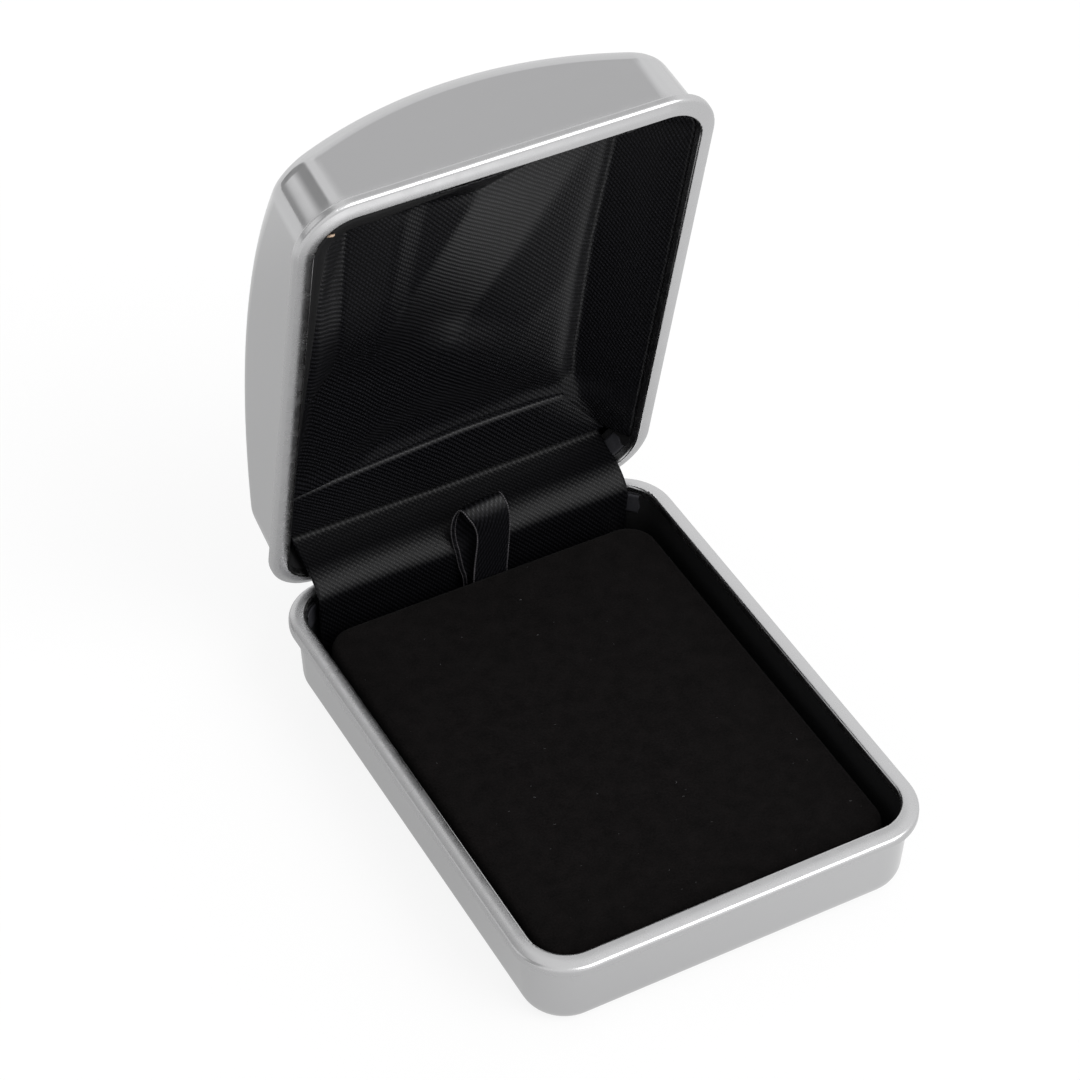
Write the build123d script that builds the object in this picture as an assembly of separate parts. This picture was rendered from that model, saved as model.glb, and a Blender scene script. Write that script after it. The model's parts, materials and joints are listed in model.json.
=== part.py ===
"""Hinged presentation box for a rosary: two pressed metal shells, a sprung hinge and a soft lining.

Millimetres, +Z up, +Y towards the hinge, origin at the middle of the base's underside. The lid is
drawn closed, in its own rim frame, and then turned back to the open position, which is the rest
position of the part. A rim frame has z = 0 on the rim plane and +z into the shell, away from the
mouth, so the base and the lid share their functions.
"""
from build123d import *
from math import atan2, cos, degrees, hypot, radians, sin, tan
import os

# Shells: both have the same outline and the same rolled rim
WIDTH = 68.3  # across the rims
DEPTH = 90.3  # front rim to hinge rim
CORNER_R = 8.95  # rim corners, in plan
SHEET_T = 0.6  # pressed sheet
DRAFT = 3.0  # lean of every wall, degrees
BASE_H = 15.2  # table to rim plane
BASE_EDGE_R = 3.4  # round between the base's walls and its floor
LID_CORNER_H = 10.4  # rim plane to the crown, above a corner
LID_RISE_X = 7.9  # how much the crown rises across the width
LID_RISE_Y = 8.2  # how much it rises along the depth
LID_EDGE_R = 3.6  # round between the lid's walls and its crown

# Rolled rim bead
RIM_W = 2.8  # bead width
RIM_H = 2.2  # bead height outside
LIP_H = 1.4  # bright lip inside, above the lining
RIM_OUTER_R = 0.7
RIM_INNER_R = 0.4
RIM_FALL = 0.7  # the bead's face falls away by this from its inner to its outer edge
RIM_CROWN = 0.2  # and it swells by this in between
RIM_FOLD_R = 0.5  # round under the bead
STEP_IN = 1.25  # the wall stands in from the bead
RIM_GAP = 0.1  # between the two rim planes when closed

# Hinge: three knuckles on the base, two on the lid, one pin
OPEN_ANGLE = 77.9  # lid at rest, degrees from closed
HINGE_SETBACK = 0.65  # pin axis inside the rear edge
KNUCKLE_R = 1.2
KNUCKLE_COUNT = 5
KNUCKLE_GAP = 0.2
PIN_R = 0.6
PIN_CLEARANCE = 0.05  # radial, in the lid's knuckles
LEAF_T = 0.6
LEAF_END_GAP = 0.2  # leaf's end to the start of the shell's corner
LEAF_DEPTH = 7.5  # rim plane to the leaf's far edge
NOTCH_CLEARANCE = 0.5  # rim notch, each side of the barrel
SEAT_CLEARANCE = 0.1  # between a leaf and the lip beside the notch

# Snap springs: bowed strips between the two leaves, one each side of the barrel
SPRING_W = 4.0
SPRING_T = 0.3
SPRING_BOW = 3.2  # sagitta of the strip
SPRING_REACH = 4.7  # pin axis to the end eyes, along the leaf
SPRING_GAP = 1.0  # barrel end to spring
SPRING_END_GAP = 2.0  # spring to leaf's end
EYE_R = 0.3
EYE_CLEARANCE = 0.1
EYE_TRAVEL = 0.6  # the lid's window is longer by this at each end, for the strip keeps its length

# Linings and cards
LINING_T = 0.85
LINING_BOTTOM_GAP = 0.2  # above the floor's edge round
LID_LINING_H = 6.0  # rim plane to the far edge of the lid's strip
FLOOR_CARD_T = 1.0
FLOOR_CARD_GAP = 0.2

# Pad
PAD_TOP_DROP = 4.0  # rim plane to the velvet
PAD_GAP = 2.0  # pad to lining, sides and front
PAD_REAR_GAP = 8.15  # pad's rear edge to the rear edge of the box
PAD_CORNER_R = 5.0
PAD_EDGE_R = 0.9
VELVET_T = 0.7
BOARD_T = 1.2

# Satin
SATIN_T = 0.5
SATIN_DEPTH = 8.5  # rim plane to the panel
SATIN_SLOPE_W = 9.8  # how far the sloping border reaches in
SATIN_PANEL_R = 3.0
BAND_DEPTH = 6.2  # rim plane to the flat band
BAND_W = 9.5  # along Y
BAND_SIDE_GAP = 6.65  # band's end to the side of the box
BAND_REAR_GAP = 6.65  # band's rear edge to the rear edge of the box
BAND_CARD_T = 0.85
BAND_CUT_X = 5.0  # each front corner of the band's card is cut away, so much along X
BAND_CUT_Y = 6.8  # and along Y
WADDING_INSET = 1.5  # wadding's edge inside the panel's
WADDING_GAP = 0.15  # to the crown
FLAP_SIDE_GAP = 6.15  # flap's edge to the side of the box
FLAP_T = 0.4
FLAP_FOOT_GAP = 1.9  # flap's foot behind the pad
FLAP_FOOT_Z = 2.0
FLAP_BULGE_GAP = 2.2  # crest of the bulge, behind the pad's rear edge
FLAP_BULGE_RISE = 3.4  # crest above the rim plane, before it is rounded
FLAP_BULGE_R = 2.5
FLAP_GAP = 0.05  # to the band's rear edge

# Ribbon
RIBBON_W = 7.2
RIBBON_T = 0.3
RIBBON_LOOP_T = 1.0
RIBBON_TOP_RISE = 10.0  # fold above the rim plane
RIBBON_X = 0.6
RIBBON_GAP = 0.05
RIBBON_FOOT_Z = 3.0

WALL_INSET = STEP_IN + SHEET_T  # rim edge to the wall's inner face
LINING_INSET = WALL_INSET + LINING_T
LEAN = tan(radians(DRAFT))
AXIS_Y = DEPTH / 2 - HINGE_SETBACK
AXIS_Z = BASE_H + RIM_GAP / 2
LEAF_W = WIDTH - 2 * (CORNER_R + LEAF_END_GAP)
BARREL_W = LEAF_W - 2 * (SPRING_GAP + SPRING_W + SPRING_END_GAP)
BAND_LENGTH = WIDTH - 2 * BAND_SIDE_GAP
FLAP_W = WIDTH - 2 * FLAP_SIDE_GAP
CROWN_MID_H = LID_CORNER_H + LID_RISE_Y  # crown above the middle of a long side
CROWN_TOP_H = CROWN_MID_H + LID_RISE_X
CROWN_RADIUS_Y = ((DEPTH / 2) ** 2 + LID_RISE_Y**2) / (2 * LID_RISE_Y)


# ---------------------------------------------------------------- placing
def to_base(shape):
    """Rim frame to the base: its inside hangs below the rim plane."""
    return Pos(0, 0, BASE_H) * mirror(shape, about=Plane.XY)


def to_lid(shape):
    """Rim frame to the lid: closed over the base, then turned open about the pin."""
    closed = Pos(0, 0, BASE_H + RIM_GAP) * shape
    return closed.rotate(Axis((0, AXIS_Y, AXIS_Z), (1, 0, 0)), -OPEN_ANGLE)


def opened(y, z):
    """(y, z) from the pin axis, as it stands when the lid is closed, to where it lies when open."""
    turn = radians(OPEN_ANGLE)
    return y * cos(turn) + z * sin(turn), z * cos(turn) - y * sin(turn)


# ---------------------------------------------------------------- outlines
def outline(inset):
    """The box's plan, inset all round."""
    return RectangleRounded(WIDTH - 2 * inset, DEPTH - 2 * inset, CORNER_R - inset)


def wall_y(z):
    """Inner face of the rear wall at depth z."""
    return DEPTH / 2 - WALL_INSET - z * LEAN


def box(x_size, y_from, y_to, z_from, z_to):
    """A box centred on X."""
    middle = Pos(0, (y_from + y_to) / 2, (z_from + z_to) / 2)
    return middle * Box(x_size, y_to - y_from, z_to - z_from)


def strip(points, width):
    """A closed outline in the YZ plane, drawn out along X about the middle."""
    face = make_face(Polyline(*[(0, y, z) for y, z in points], close=True))
    return Pos(-width / 2, 0, 0) * extrude(face, amount=width, dir=(1, 0, 0))


# ---------------------------------------------------------------- pressed forms
def drafted(inset, height):
    return extrude(outline(inset), amount=height, taper=DRAFT)


def base_form(inset, height, edge_r):
    """A solid tray form: drafted walls, rounded into a flat floor."""
    form = drafted(inset, height)
    return fillet(form.edges().group_by(Axis.Z)[-1], edge_r)


def crown(drop):
    """Everything below the lid's crown, lowered by drop: an arc across X swung along Y."""
    half = WIDTH / 2
    axis_h = CROWN_TOP_H - CROWN_RADIUS_Y
    edge_h, top_h = CROWN_MID_H - drop, CROWN_TOP_H - drop
    profile = make_face(
        [
            ThreePointArc((-half, 0, edge_h), (0, 0, top_h), (half, 0, edge_h)),
            Polyline((half, 0, edge_h), (half, 0, axis_h), (-half, 0, axis_h), (-half, 0, edge_h)),
        ]
    )
    return revolve(profile, axis=Axis((0, 0, axis_h), (1, 0, 0)))


def lid_form(inset, drop, edge_r):
    """A solid lid form: drafted walls, rounded into the crown."""
    form = drafted(inset, CROWN_TOP_H) & crown(drop)
    top_edges = [e for e in form.edges() if e.bounding_box().min.Z > RIM_H]
    return fillet(top_edges, edge_r)


def bead():
    """The rolled rim: a section with a crowned face that falls outwards, taken round the outline."""
    side = WIDTH / 2
    section = make_face(
        [
            ThreePointArc((side - RIM_W, 0, 0), (side - RIM_W / 2, 0, RIM_FALL / 2 - RIM_CROWN), (side, 0, RIM_FALL)),
            Polyline((side, 0, RIM_FALL), (side, 0, RIM_H), (side - RIM_W, 0, RIM_H), (side - RIM_W, 0, 0)),
        ]
    )
    section = fillet(section.vertices().sort_by(Axis.X)[-2:].sort_by(Axis.Z)[0], RIM_OUTER_R)
    section = fillet(section.vertices().sort_by(Axis.X)[:2].sort_by(Axis.Z)[0], RIM_INNER_R)
    section = fillet(section.vertices().sort_by(Axis.X)[-2:].sort_by(Axis.Z)[-1], RIM_FOLD_R)
    return sweep(section, path=outline(0).face().outer_wire())


def shell(outer, inner):
    """A pressed shell from its outer and inner forms, with the bead, its lip and the notch."""
    above_lip = box(WIDTH, -DEPTH / 2, DEPTH / 2, 0, LIP_H)
    body = (bead() - (inner - above_lip)) + (outer - inner - above_lip)
    notch_w = BARREL_W + 2 * NOTCH_CLEARANCE
    return body - box(notch_w, DEPTH / 2 - RIM_W, DEPTH / 2, 0, RIM_H)


def lining(bottom):
    """A card strip inside the walls, cut away behind the hinge leaf."""
    ring = drafted(WALL_INSET, bottom) - drafted(LINING_INSET, bottom)
    ring -= box(WIDTH, -DEPTH / 2, DEPTH / 2, 0, LIP_H)
    return ring - box(LEAF_W + 2 * SEAT_CLEARANCE, DEPTH / 4, DEPTH / 2, 0, bottom)


# ---------------------------------------------------------------- hinge
def knuckle_spans(first):
    """(middle, width) of every second knuckle, starting with number first."""
    pitch = (BARREL_W + KNUCKLE_GAP) / KNUCKLE_COUNT
    width = pitch - KNUCKLE_GAP
    start = -BARREL_W / 2 + width / 2
    return [(start + i * pitch, width) for i in range(first, KNUCKLE_COUNT, 2)]


def eye_depth():
    """The spring eyes' depth below the rim plane, in either rim frame."""
    return SPRING_REACH - RIM_GAP / 2


def eye_y():
    """The eyes are centred on the leaf's front face, so they clear the wall as they shift."""
    return wall_y(eye_depth()) - LEAF_T


def spring_x():
    return BARREL_W / 2 + SPRING_GAP + SPRING_W / 2


def leaf(first, bore_r, window_travel):
    """A hinge leaf with its knuckles, tabs and spring windows, in a rim frame."""
    top = LIP_H + SEAT_CLEARANCE
    near, far = KNUCKLE_R - LEAF_T - RIM_GAP / 2, KNUCKLE_R - RIM_GAP / 2
    body = strip(
        [(wall_y(top), top), (wall_y(LEAF_DEPTH), LEAF_DEPTH),
         (wall_y(LEAF_DEPTH) - LEAF_T, LEAF_DEPTH), (wall_y(top) - LEAF_T, top)],
        LEAF_W,
    )
    for middle, width in knuckle_spans(first):
        tab = strip(
            [(AXIS_Y, near), (AXIS_Y, far), (wall_y(far), far), (wall_y(top), top),
             (wall_y(top) - LEAF_T, top), (wall_y(near) - LEAF_T, near)],
            width,
        )
        barrel = Pos(0, AXIS_Y, -RIM_GAP / 2) * Rot(0, 90, 0) * Cylinder(KNUCKLE_R, width)
        body += Pos(middle, 0, 0) * (tab + barrel)
    body -= Pos(0, AXIS_Y, -RIM_GAP / 2) * Rot(0, 90, 0) * Cylinder(bore_r, BARREL_W)
    reach = EYE_R + SPRING_T + EYE_CLEARANCE
    window = box(SPRING_W + 2 * EYE_CLEARANCE, wall_y(0) - 2 * WALL_INSET, wall_y(0),
                 eye_depth() - reach - window_travel, eye_depth() + reach + window_travel)
    for side in (-1, 1):
        body -= Pos(side * spring_x(), 0, 0) * window
    return body


def hinge_pin():
    return Pos(0, AXIS_Y, AXIS_Z) * Rot(0, 90, 0) * Cylinder(PIN_R, BARREL_W)


def spring_eyes():
    """The two eyes at rest, (y, z) from the pin axis: on the base leaf, then on the open lid's."""
    setback = eye_y() - AXIS_Y
    return (setback, -SPRING_REACH), opened(setback, SPRING_REACH)


def snap_spring(side):
    """A bowed strip with a rolled eye at each end, bowed towards the inside of the box."""
    (y0, z0), (y1, z1) = spring_eyes()
    chord = hypot(y1 - y0, z1 - z0)
    lean = atan2(z1 - z0, y1 - y0)
    radius = (chord**2 / 4 + SPRING_BOW**2) / (2 * SPRING_BOW)
    centre = Pos(0, SPRING_BOW - radius)
    ring = Circle(radius + SPRING_T / 2) - Circle(radius - SPRING_T / 2)
    ring = (centre * ring) & (Pos(0, radius) * Rectangle(chord, 2 * radius))
    profile = ring + Pos(-chord / 2, 0) * Circle(EYE_R) + Pos(chord / 2, 0) * Circle(EYE_R)
    middle = Vector(side * spring_x() - SPRING_W / 2, AXIS_Y + (y0 + y1) / 2, AXIS_Z + (z0 + z1) / 2)
    along = Vector(0, cos(lean), sin(lean))
    plane = Plane(origin=middle, x_dir=along, z_dir=(1, 0, 0))
    return extrude(plane * profile, amount=SPRING_W)


# ---------------------------------------------------------------- pad
def pad_outline(inset):
    """The pad's plan, inset all round: a gap to the linings, and room for the flap behind."""
    wall = LINING_INSET + PAD_TOP_DROP * LEAN + PAD_GAP
    front, rear = -DEPTH / 2 + wall + inset, DEPTH / 2 - PAD_REAR_GAP - inset
    plan = RectangleRounded(WIDTH - 2 * (wall + inset), rear - front, PAD_CORNER_R - inset)
    return Pos(0, (front + rear) / 2) * plan


FLOOR_Z = SHEET_T + FLOOR_CARD_T
PAD_TOP_Z = BASE_H - PAD_TOP_DROP
BOARD_TOP_Z = PAD_TOP_Z - VELVET_T
PAD_REAR_Y = DEPTH / 2 - PAD_REAR_GAP


def pad_slab(inset, z_from, z_to):
    return Pos(0, 0, z_from) * extrude(pad_outline(inset), amount=z_to - z_from)


def pad_velvet():
    outside = pad_slab(0, FLOOR_Z, PAD_TOP_Z)
    outside = fillet(outside.edges().group_by(Axis.Z)[-1], PAD_EDGE_R)
    return outside - pad_slab(VELVET_T, FLOOR_Z, BOARD_TOP_Z)


def ribbon_pull():
    """A ribbon folded over at its top, standing behind the pad."""
    near = PAD_REAR_Y + RIBBON_GAP
    straight = BASE_H + RIBBON_TOP_RISE - RIBBON_LOOP_T / 2 - RIBBON_FOOT_Z
    loop = Rectangle(RIBBON_LOOP_T, straight, align=(Align.CENTER, Align.MAX)) + Circle(RIBBON_LOOP_T / 2)
    hollow_w = RIBBON_LOOP_T - 2 * RIBBON_T
    loop -= Rectangle(hollow_w, straight, align=(Align.CENTER, Align.MAX)) + Circle(hollow_w / 2)
    origin = (RIBBON_X - RIBBON_W / 2, near + RIBBON_LOOP_T / 2, RIBBON_FOOT_Z + straight)
    return extrude(Plane(origin=origin, x_dir=(0, 1, 0), z_dir=(1, 0, 0)) * loop, amount=RIBBON_W)


def floor_card():
    inset = WALL_INSET + BASE_H * LEAN + BASE_EDGE_R - SHEET_T + FLOOR_CARD_GAP
    return Pos(0, 0, SHEET_T) * extrude(outline(inset), amount=FLOOR_CARD_T)


# ---------------------------------------------------------------- satin, in the lid's rim frame
BAND_REAR_Y = DEPTH / 2 - BAND_REAR_GAP
BAND_FRONT_Y = BAND_REAR_Y - BAND_W


def dish(shrink, rise):
    """The sloping border and panel as a solid, thinned by shrink all round and from the far side."""
    mouth = RIM_W + shrink
    panel = RIM_W + SATIN_SLOPE_W + shrink
    panel_size = (WIDTH - 2 * panel, DEPTH - 2 * panel)
    ends = [
        Pos(0, 0, LIP_H) * outline(mouth),
        Pos(0, 0, SATIN_DEPTH + SATIN_T - rise) * RectangleRounded(*panel_size, SATIN_PANEL_R),
    ]
    return loft(ends)


def lid_satin():
    """Border and panel, closed at the rear by the step down to the flat band, and the band."""
    outer = dish(0, 0)
    skin = outer - dish(SATIN_T, SATIN_T)
    high, low = BAND_DEPTH + SATIN_T, BAND_DEPTH
    ahead = skin & box(WIDTH, -DEPTH / 2, BAND_FRONT_Y, 0, SATIN_DEPTH + SATIN_T)
    beside = skin & box(WIDTH, BAND_FRONT_Y, BAND_REAR_Y, 0, high)
    step = outer & box(WIDTH, BAND_FRONT_Y - SATIN_T, BAND_FRONT_Y, low, SATIN_DEPTH + SATIN_T)
    band = outer & box(WIDTH, BAND_FRONT_Y - SATIN_T, BAND_REAR_Y, low, high)
    return ahead + beside + step + band


def band_card():
    """The stiffener under the band, with its front corners cut slantwise."""
    half, cut_y = BAND_LENGTH / 2, BAND_FRONT_Y + BAND_CUT_Y
    front = half - BAND_CUT_X
    plan = Polyline((-front, BAND_FRONT_Y), (front, BAND_FRONT_Y), (half, cut_y), (half, BAND_REAR_Y),
                    (-half, BAND_REAR_Y), (-half, cut_y), close=True)
    return Pos(0, 0, BAND_DEPTH + SATIN_T) * extrude(make_face(plan), amount=BAND_CARD_T, dir=(0, 0, 1))


def wadding():
    """Fills the space between the satin's panel and the crown."""
    edge = RIM_W + SATIN_SLOPE_W + WADDING_INSET
    block = box(WIDTH - 2 * edge, -DEPTH / 2 + edge, BAND_FRONT_Y - WADDING_INSET,
                SATIN_DEPTH + SATIN_T, CROWN_TOP_H)
    return block & crown(SHEET_T + WADDING_GAP)


def hinge_flap():
    """The satin that hides the hinge: from behind the pad, over a bulge, to the band in the lid."""
    foot = (PAD_REAR_Y + FLAP_FOOT_GAP, FLAP_FOOT_Z)
    crest = (PAD_REAR_Y + FLAP_BULGE_GAP, BASE_H + FLAP_BULGE_RISE)
    band_edge = BAND_REAR_Y + FLAP_GAP + FLAP_T / 2 - AXIS_Y
    band_y, band_z = opened(band_edge, BAND_DEPTH + (RIM_GAP + SATIN_T) / 2)
    path = FilletPolyline(foot, crest, (AXIS_Y + band_y, AXIS_Z + band_z), radius=FLAP_BULGE_R)
    plane = Plane(origin=(-FLAP_W / 2, 0, 0), x_dir=(0, 1, 0), z_dir=(1, 0, 0))
    return extrude(plane * trace(path, FLAP_T), amount=FLAP_W)


def build():
    """Every node by name, in place, with the lid open."""
    base_inner = base_form(WALL_INSET, BASE_H - SHEET_T, BASE_EDGE_R - SHEET_T)
    lid_inner = lid_form(WALL_INSET, SHEET_T, LID_EDGE_R - SHEET_T)
    return {
        "base_shell": to_base(shell(base_form(STEP_IN, BASE_H, BASE_EDGE_R), base_inner)),
        "base_wall_lining": to_base(lining(BASE_H - BASE_EDGE_R - LINING_BOTTOM_GAP)),
        "base_floor_card": floor_card(),
        "base_hinge_leaf": to_base(leaf(0, PIN_R, 0)),
        "hinge_pin": hinge_pin(),
        "lid_shell": to_lid(shell(lid_form(STEP_IN, 0, LID_EDGE_R), lid_inner)),
        "lid_wall_lining": to_lid(lining(LID_LINING_H)),
        "lid_wadding": to_lid(wadding()),
        "lid_satin": to_lid(lid_satin()),
        "lid_band_card": to_lid(band_card()),
        "lid_hinge_leaf": to_lid(leaf(1, PIN_R + PIN_CLEARANCE, EYE_TRAVEL)),
        "snap_spring_left": snap_spring(-1),
        "snap_spring_right": snap_spring(1),
        "hinge_satin_flap": hinge_flap(),
        "pad_foam": pad_slab(VELVET_T, FLOOR_Z, BOARD_TOP_Z - BOARD_T),
        "pad_board": pad_slab(VELVET_T, BOARD_TOP_Z - BOARD_T, BOARD_TOP_Z),
        "pad_velvet": pad_velvet(),
        "ribbon_pull": ribbon_pull(),
    }


if __name__ == "__main__":
    os.makedirs("parts", exist_ok=True)
    for node, shape in build().items():
        export_step(shape, f"parts/{node}.step")
    eye = spring_eyes()[0]
    print(f"pin axis y {AXIS_Y:.3f} z {AXIS_Z:.3f}")
    print(f"spring pivot y {AXIS_Y + eye[0]:.4f} z {AXIS_Z + eye[1]:.4f}, "
          f"angle {degrees(atan2(eye[1], eye[0])):.1f}")
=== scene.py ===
"""Dressed scene of a small hinged presentation box: plated shells, satin lining, velvet pad, ribbon.

Sizes are in millimetres until a mesh is made. A rim frame has its origin at the middle of the box's
plan and h = 0 on the rim plane, with h growing into the shell; y grows towards the hinge.
"""
import json
import logging
import math
from dataclasses import dataclass
from enum import Enum
from typing import Any, Optional, Sequence, Union

import bpy
import numpy as np
from mathutils import Matrix, Vector


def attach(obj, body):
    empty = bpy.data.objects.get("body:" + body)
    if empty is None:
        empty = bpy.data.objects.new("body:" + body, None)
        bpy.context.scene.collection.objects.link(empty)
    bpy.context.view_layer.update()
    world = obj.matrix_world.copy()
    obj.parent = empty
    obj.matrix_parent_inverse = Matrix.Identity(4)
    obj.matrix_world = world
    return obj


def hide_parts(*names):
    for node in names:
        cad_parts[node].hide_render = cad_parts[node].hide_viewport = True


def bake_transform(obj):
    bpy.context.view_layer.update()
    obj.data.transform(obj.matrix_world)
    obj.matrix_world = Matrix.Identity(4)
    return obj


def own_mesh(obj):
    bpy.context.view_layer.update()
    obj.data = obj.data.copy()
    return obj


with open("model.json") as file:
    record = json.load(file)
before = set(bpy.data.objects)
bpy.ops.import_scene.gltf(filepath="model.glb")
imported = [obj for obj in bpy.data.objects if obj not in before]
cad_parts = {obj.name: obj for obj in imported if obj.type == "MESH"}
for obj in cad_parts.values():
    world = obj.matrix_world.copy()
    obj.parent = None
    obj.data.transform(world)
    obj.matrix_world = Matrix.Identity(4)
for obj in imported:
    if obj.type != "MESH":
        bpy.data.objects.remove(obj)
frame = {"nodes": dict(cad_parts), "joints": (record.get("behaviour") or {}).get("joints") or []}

Array = np.ndarray
Line = tuple[tuple[float, ...], ...]  # points in millimetres, or pairs to read one value from the other
Pair = tuple[float, float]
Triple = tuple[float, float, float]
Object, Material = bpy.types.Object, bpy.types.Material
Socket, Tree = bpy.types.NodeSocket, bpy.types.NodeTree

MM = 0.001
PAD_DROP = 4.0  # from the rim plane down to the pad's face
RIM_GAP = 0.1  # between the two rim planes when the box is shut
WEAVE_TILE = 100.0  # cloth across one tile of the UV map
WEAVE = "weave"  # attribute: where a point lies on the flat cloth
WEAVE_MAP = "weave_map"  # the same as a UV map, for the direction of the yarns
log = logging.getLogger("presentation_box")
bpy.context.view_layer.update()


# ---------------------------------------- small tools
def linear(colour: str) -> tuple[float, float, float, float]:
    """Turns an sRGB hex colour into linear RGBA.

    Args:
        colour: six hex digits with a leading hash.
    Returns:
        Linear red, green, blue and an alpha of 1.
    """
    parts = (int(colour[i:i + 2], 16) / 255 for i in (1, 3, 5))
    rgb = [c / 12.92 if c <= 0.04045 else ((c + 0.055) / 1.055) ** 2.4 for c in parts]
    return (*rgb, 1.0)


class Graph:
    """A node tree being laid out."""

    def __init__(self, tree: Tree) -> None:
        """Takes the tree to add to."""
        self.tree = tree

    def add(self, kind: str, inputs: Optional[dict] = None, out: Any = 0, **settings: Any) -> Any:
        """Adds a node, sets its properties and fills its inputs.

        Args:
            kind: the node's type name.
            inputs: socket name or number to a value, or to an output socket to link from.
            out: name or number of the output wanted, or None for all of them.
            **settings: properties of the node.
        Returns:
            The output, or all of them.
        """
        made = self.tree.nodes.new(kind)
        for name, value in settings.items():
            setattr(made, name, value)
        self.fill(made, inputs or {})
        return made.outputs if out is None else made.outputs[out]

    def fill(self, node: bpy.types.Node, inputs: dict) -> None:
        """Fills a node's inputs.

        Args:
            node: the node.
            inputs: socket name or number to a value, or to an output socket to link from.
        """
        for name, value in inputs.items():
            if isinstance(value, Socket):
                self.tree.links.new(value, node.inputs[name])
            else:
                node.inputs[name].default_value = value

    def maths(self, operation: str, *values: Any) -> Socket:
        """Adds a Math node on values or sockets."""
        return self.add("ShaderNodeMath", dict(enumerate(values)), operation=operation)

    def noise(self, where: Socket, wavelength: float, detail: float = 2.0, out: str = "Fac") -> Socket:
        """Adds noise on coordinates in metres, with features of that many millimetres."""
        inputs = {"Vector": where, "Scale": 1 / (wavelength * MM), "Detail": detail}
        return self.add("ShaderNodeTexNoise", inputs, out)

    def ramp(self, value: Socket, low: float, high: float, to: Pair = (0.0, 1.0),
             smooth: bool = False) -> Socket:
        """Maps a range of a value onto another.

        Args:
            value: the socket to map.
            low: the value that gives the first end.
            high: the value that gives the second.
            to: both ends of the result.
            smooth: eases the ends.
        Returns:
            The mapped value.
        """
        ends = {"From Min": low, "From Max": high, "To Min": to[0], "To Max": to[1]}
        return self.add("ShaderNodeMapRange", {"Value": value, **ends},
                        interpolation_type="SMOOTHSTEP" if smooth else "LINEAR")


def link(piece: Object) -> Object:
    """Puts a new object in the scene."""
    bpy.context.scene.collection.objects.link(piece)
    return piece


def mesh_object(name: str, points: Array, faces: Sequence[Sequence[int]],
                weave: Optional[Array] = None) -> Object:
    """Makes a smooth mesh object at the origin.

    Args:
        name: the piece's name.
        points: N x 3, millimetres in the row frame.
        faces: vertex numbers of each face.
        weave: N x 2, where each point lies on the flat cloth, in millimetres.
    Returns:
        The linked object.
    """
    data = bpy.data.meshes.new(name)
    data.from_pydata((np.asarray(points, float) * MM).tolist(), [], [list(map(int, f)) for f in faces])
    data.polygons.foreach_set("use_smooth", [True] * len(data.polygons))
    if weave is not None:
        flat = np.column_stack([np.asarray(weave, float), np.zeros(len(weave))]) * MM
        data.attributes.new(WEAVE, "FLOAT_VECTOR", "POINT").data.foreach_set("vector", flat.ravel())
        corners = np.empty(len(data.loops), int)
        data.loops.foreach_get("vertex_index", corners)
        tile = flat[corners, :2] / (WEAVE_TILE * MM) + 0.5
        data.uv_layers.new(name=WEAVE_MAP).data.foreach_set("uv", tile.ravel())
    data.update()
    return link(bpy.data.objects.new(name, data))


def tube(name: str, line: Array, radius: float, sides: int) -> Object:
    """Makes a closed round tube with tapered ends along a line.

    Args:
        name: the piece's name.
        line: N x 3, millimetres in the row frame.
        radius: millimetres.
        sides: faces round it.
    Returns:
        The linked object.
    """
    taper = 0.25  # radians of the half turn that the thickness follows, left off at each end
    way = np.gradient(line, axis=0)
    way /= np.linalg.norm(way, axis=1)[:, None]
    first = np.cross(way, (0.31, 0.17, 0.93))  # any direction that the line never takes
    first /= np.linalg.norm(first, axis=1)[:, None]
    second = np.cross(way, first)
    turn = np.linspace(0, 2 * math.pi, sides, endpoint=False)[None, :, None]
    thick = radius * np.sqrt(np.sin(np.linspace(taper, math.pi - taper, len(line))))
    points = line[:, None] + thick[:, None, None] * (first[:, None] * np.cos(turn)
                                                     + second[:, None] * np.sin(turn))
    last = (len(line) - 1) * sides
    faces = [(r + i, r + (i + 1) % sides, r + sides + (i + 1) % sides, r + sides + i)
             for r in range(0, last, sides) for i in range(sides)]
    faces += [tuple(reversed(range(sides))), tuple(last + i for i in range(sides))]
    return mesh_object(name, points.reshape(-1, 3), faces)


def applied(piece: Object) -> bpy.types.Mesh:
    """A new mesh of an object with its modifiers applied."""
    evaluated = piece.evaluated_get(bpy.context.evaluated_depsgraph_get())
    return bpy.data.meshes.new_from_object(evaluated)


def thicken(piece: Object, thickness: float) -> Object:
    """Gives a cloth its thickness behind its face, as plain mesh.

    Args:
        piece: the cloth.
        thickness: millimetres.
    Returns:
        The same object.
    """
    wall = piece.modifiers.new("cloth", "SOLIDIFY")
    wall.thickness, wall.offset, wall.use_even_offset = thickness * MM, -1.0, True
    piece.data = applied(piece)
    piece.modifiers.clear()
    return piece


def columns(*grids: Array) -> Array:
    """Grids with as many values as each other, as the columns of a list of points."""
    return np.column_stack([grid.ravel() for grid in grids])


def cloth_sheet(name: str, points: Sequence[Sequence[float]], cols: int, weave: Sequence[Sequence[float]],
                thickness: float) -> Object:
    """Makes a cloth from a grid of points.

    Args:
        name: the piece's name.
        points: row by row, millimetres in the row frame.
        cols: points in a row.
        weave: where each point lies on the flat cloth.
        thickness: millimetres, behind the face.
    Returns:
        The linked object.
    """
    faces = grid_faces(len(points) // cols, cols, flip=True)
    return thicken(mesh_object(name, np.array(points), faces, np.array(weave)), thickness)


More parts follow.
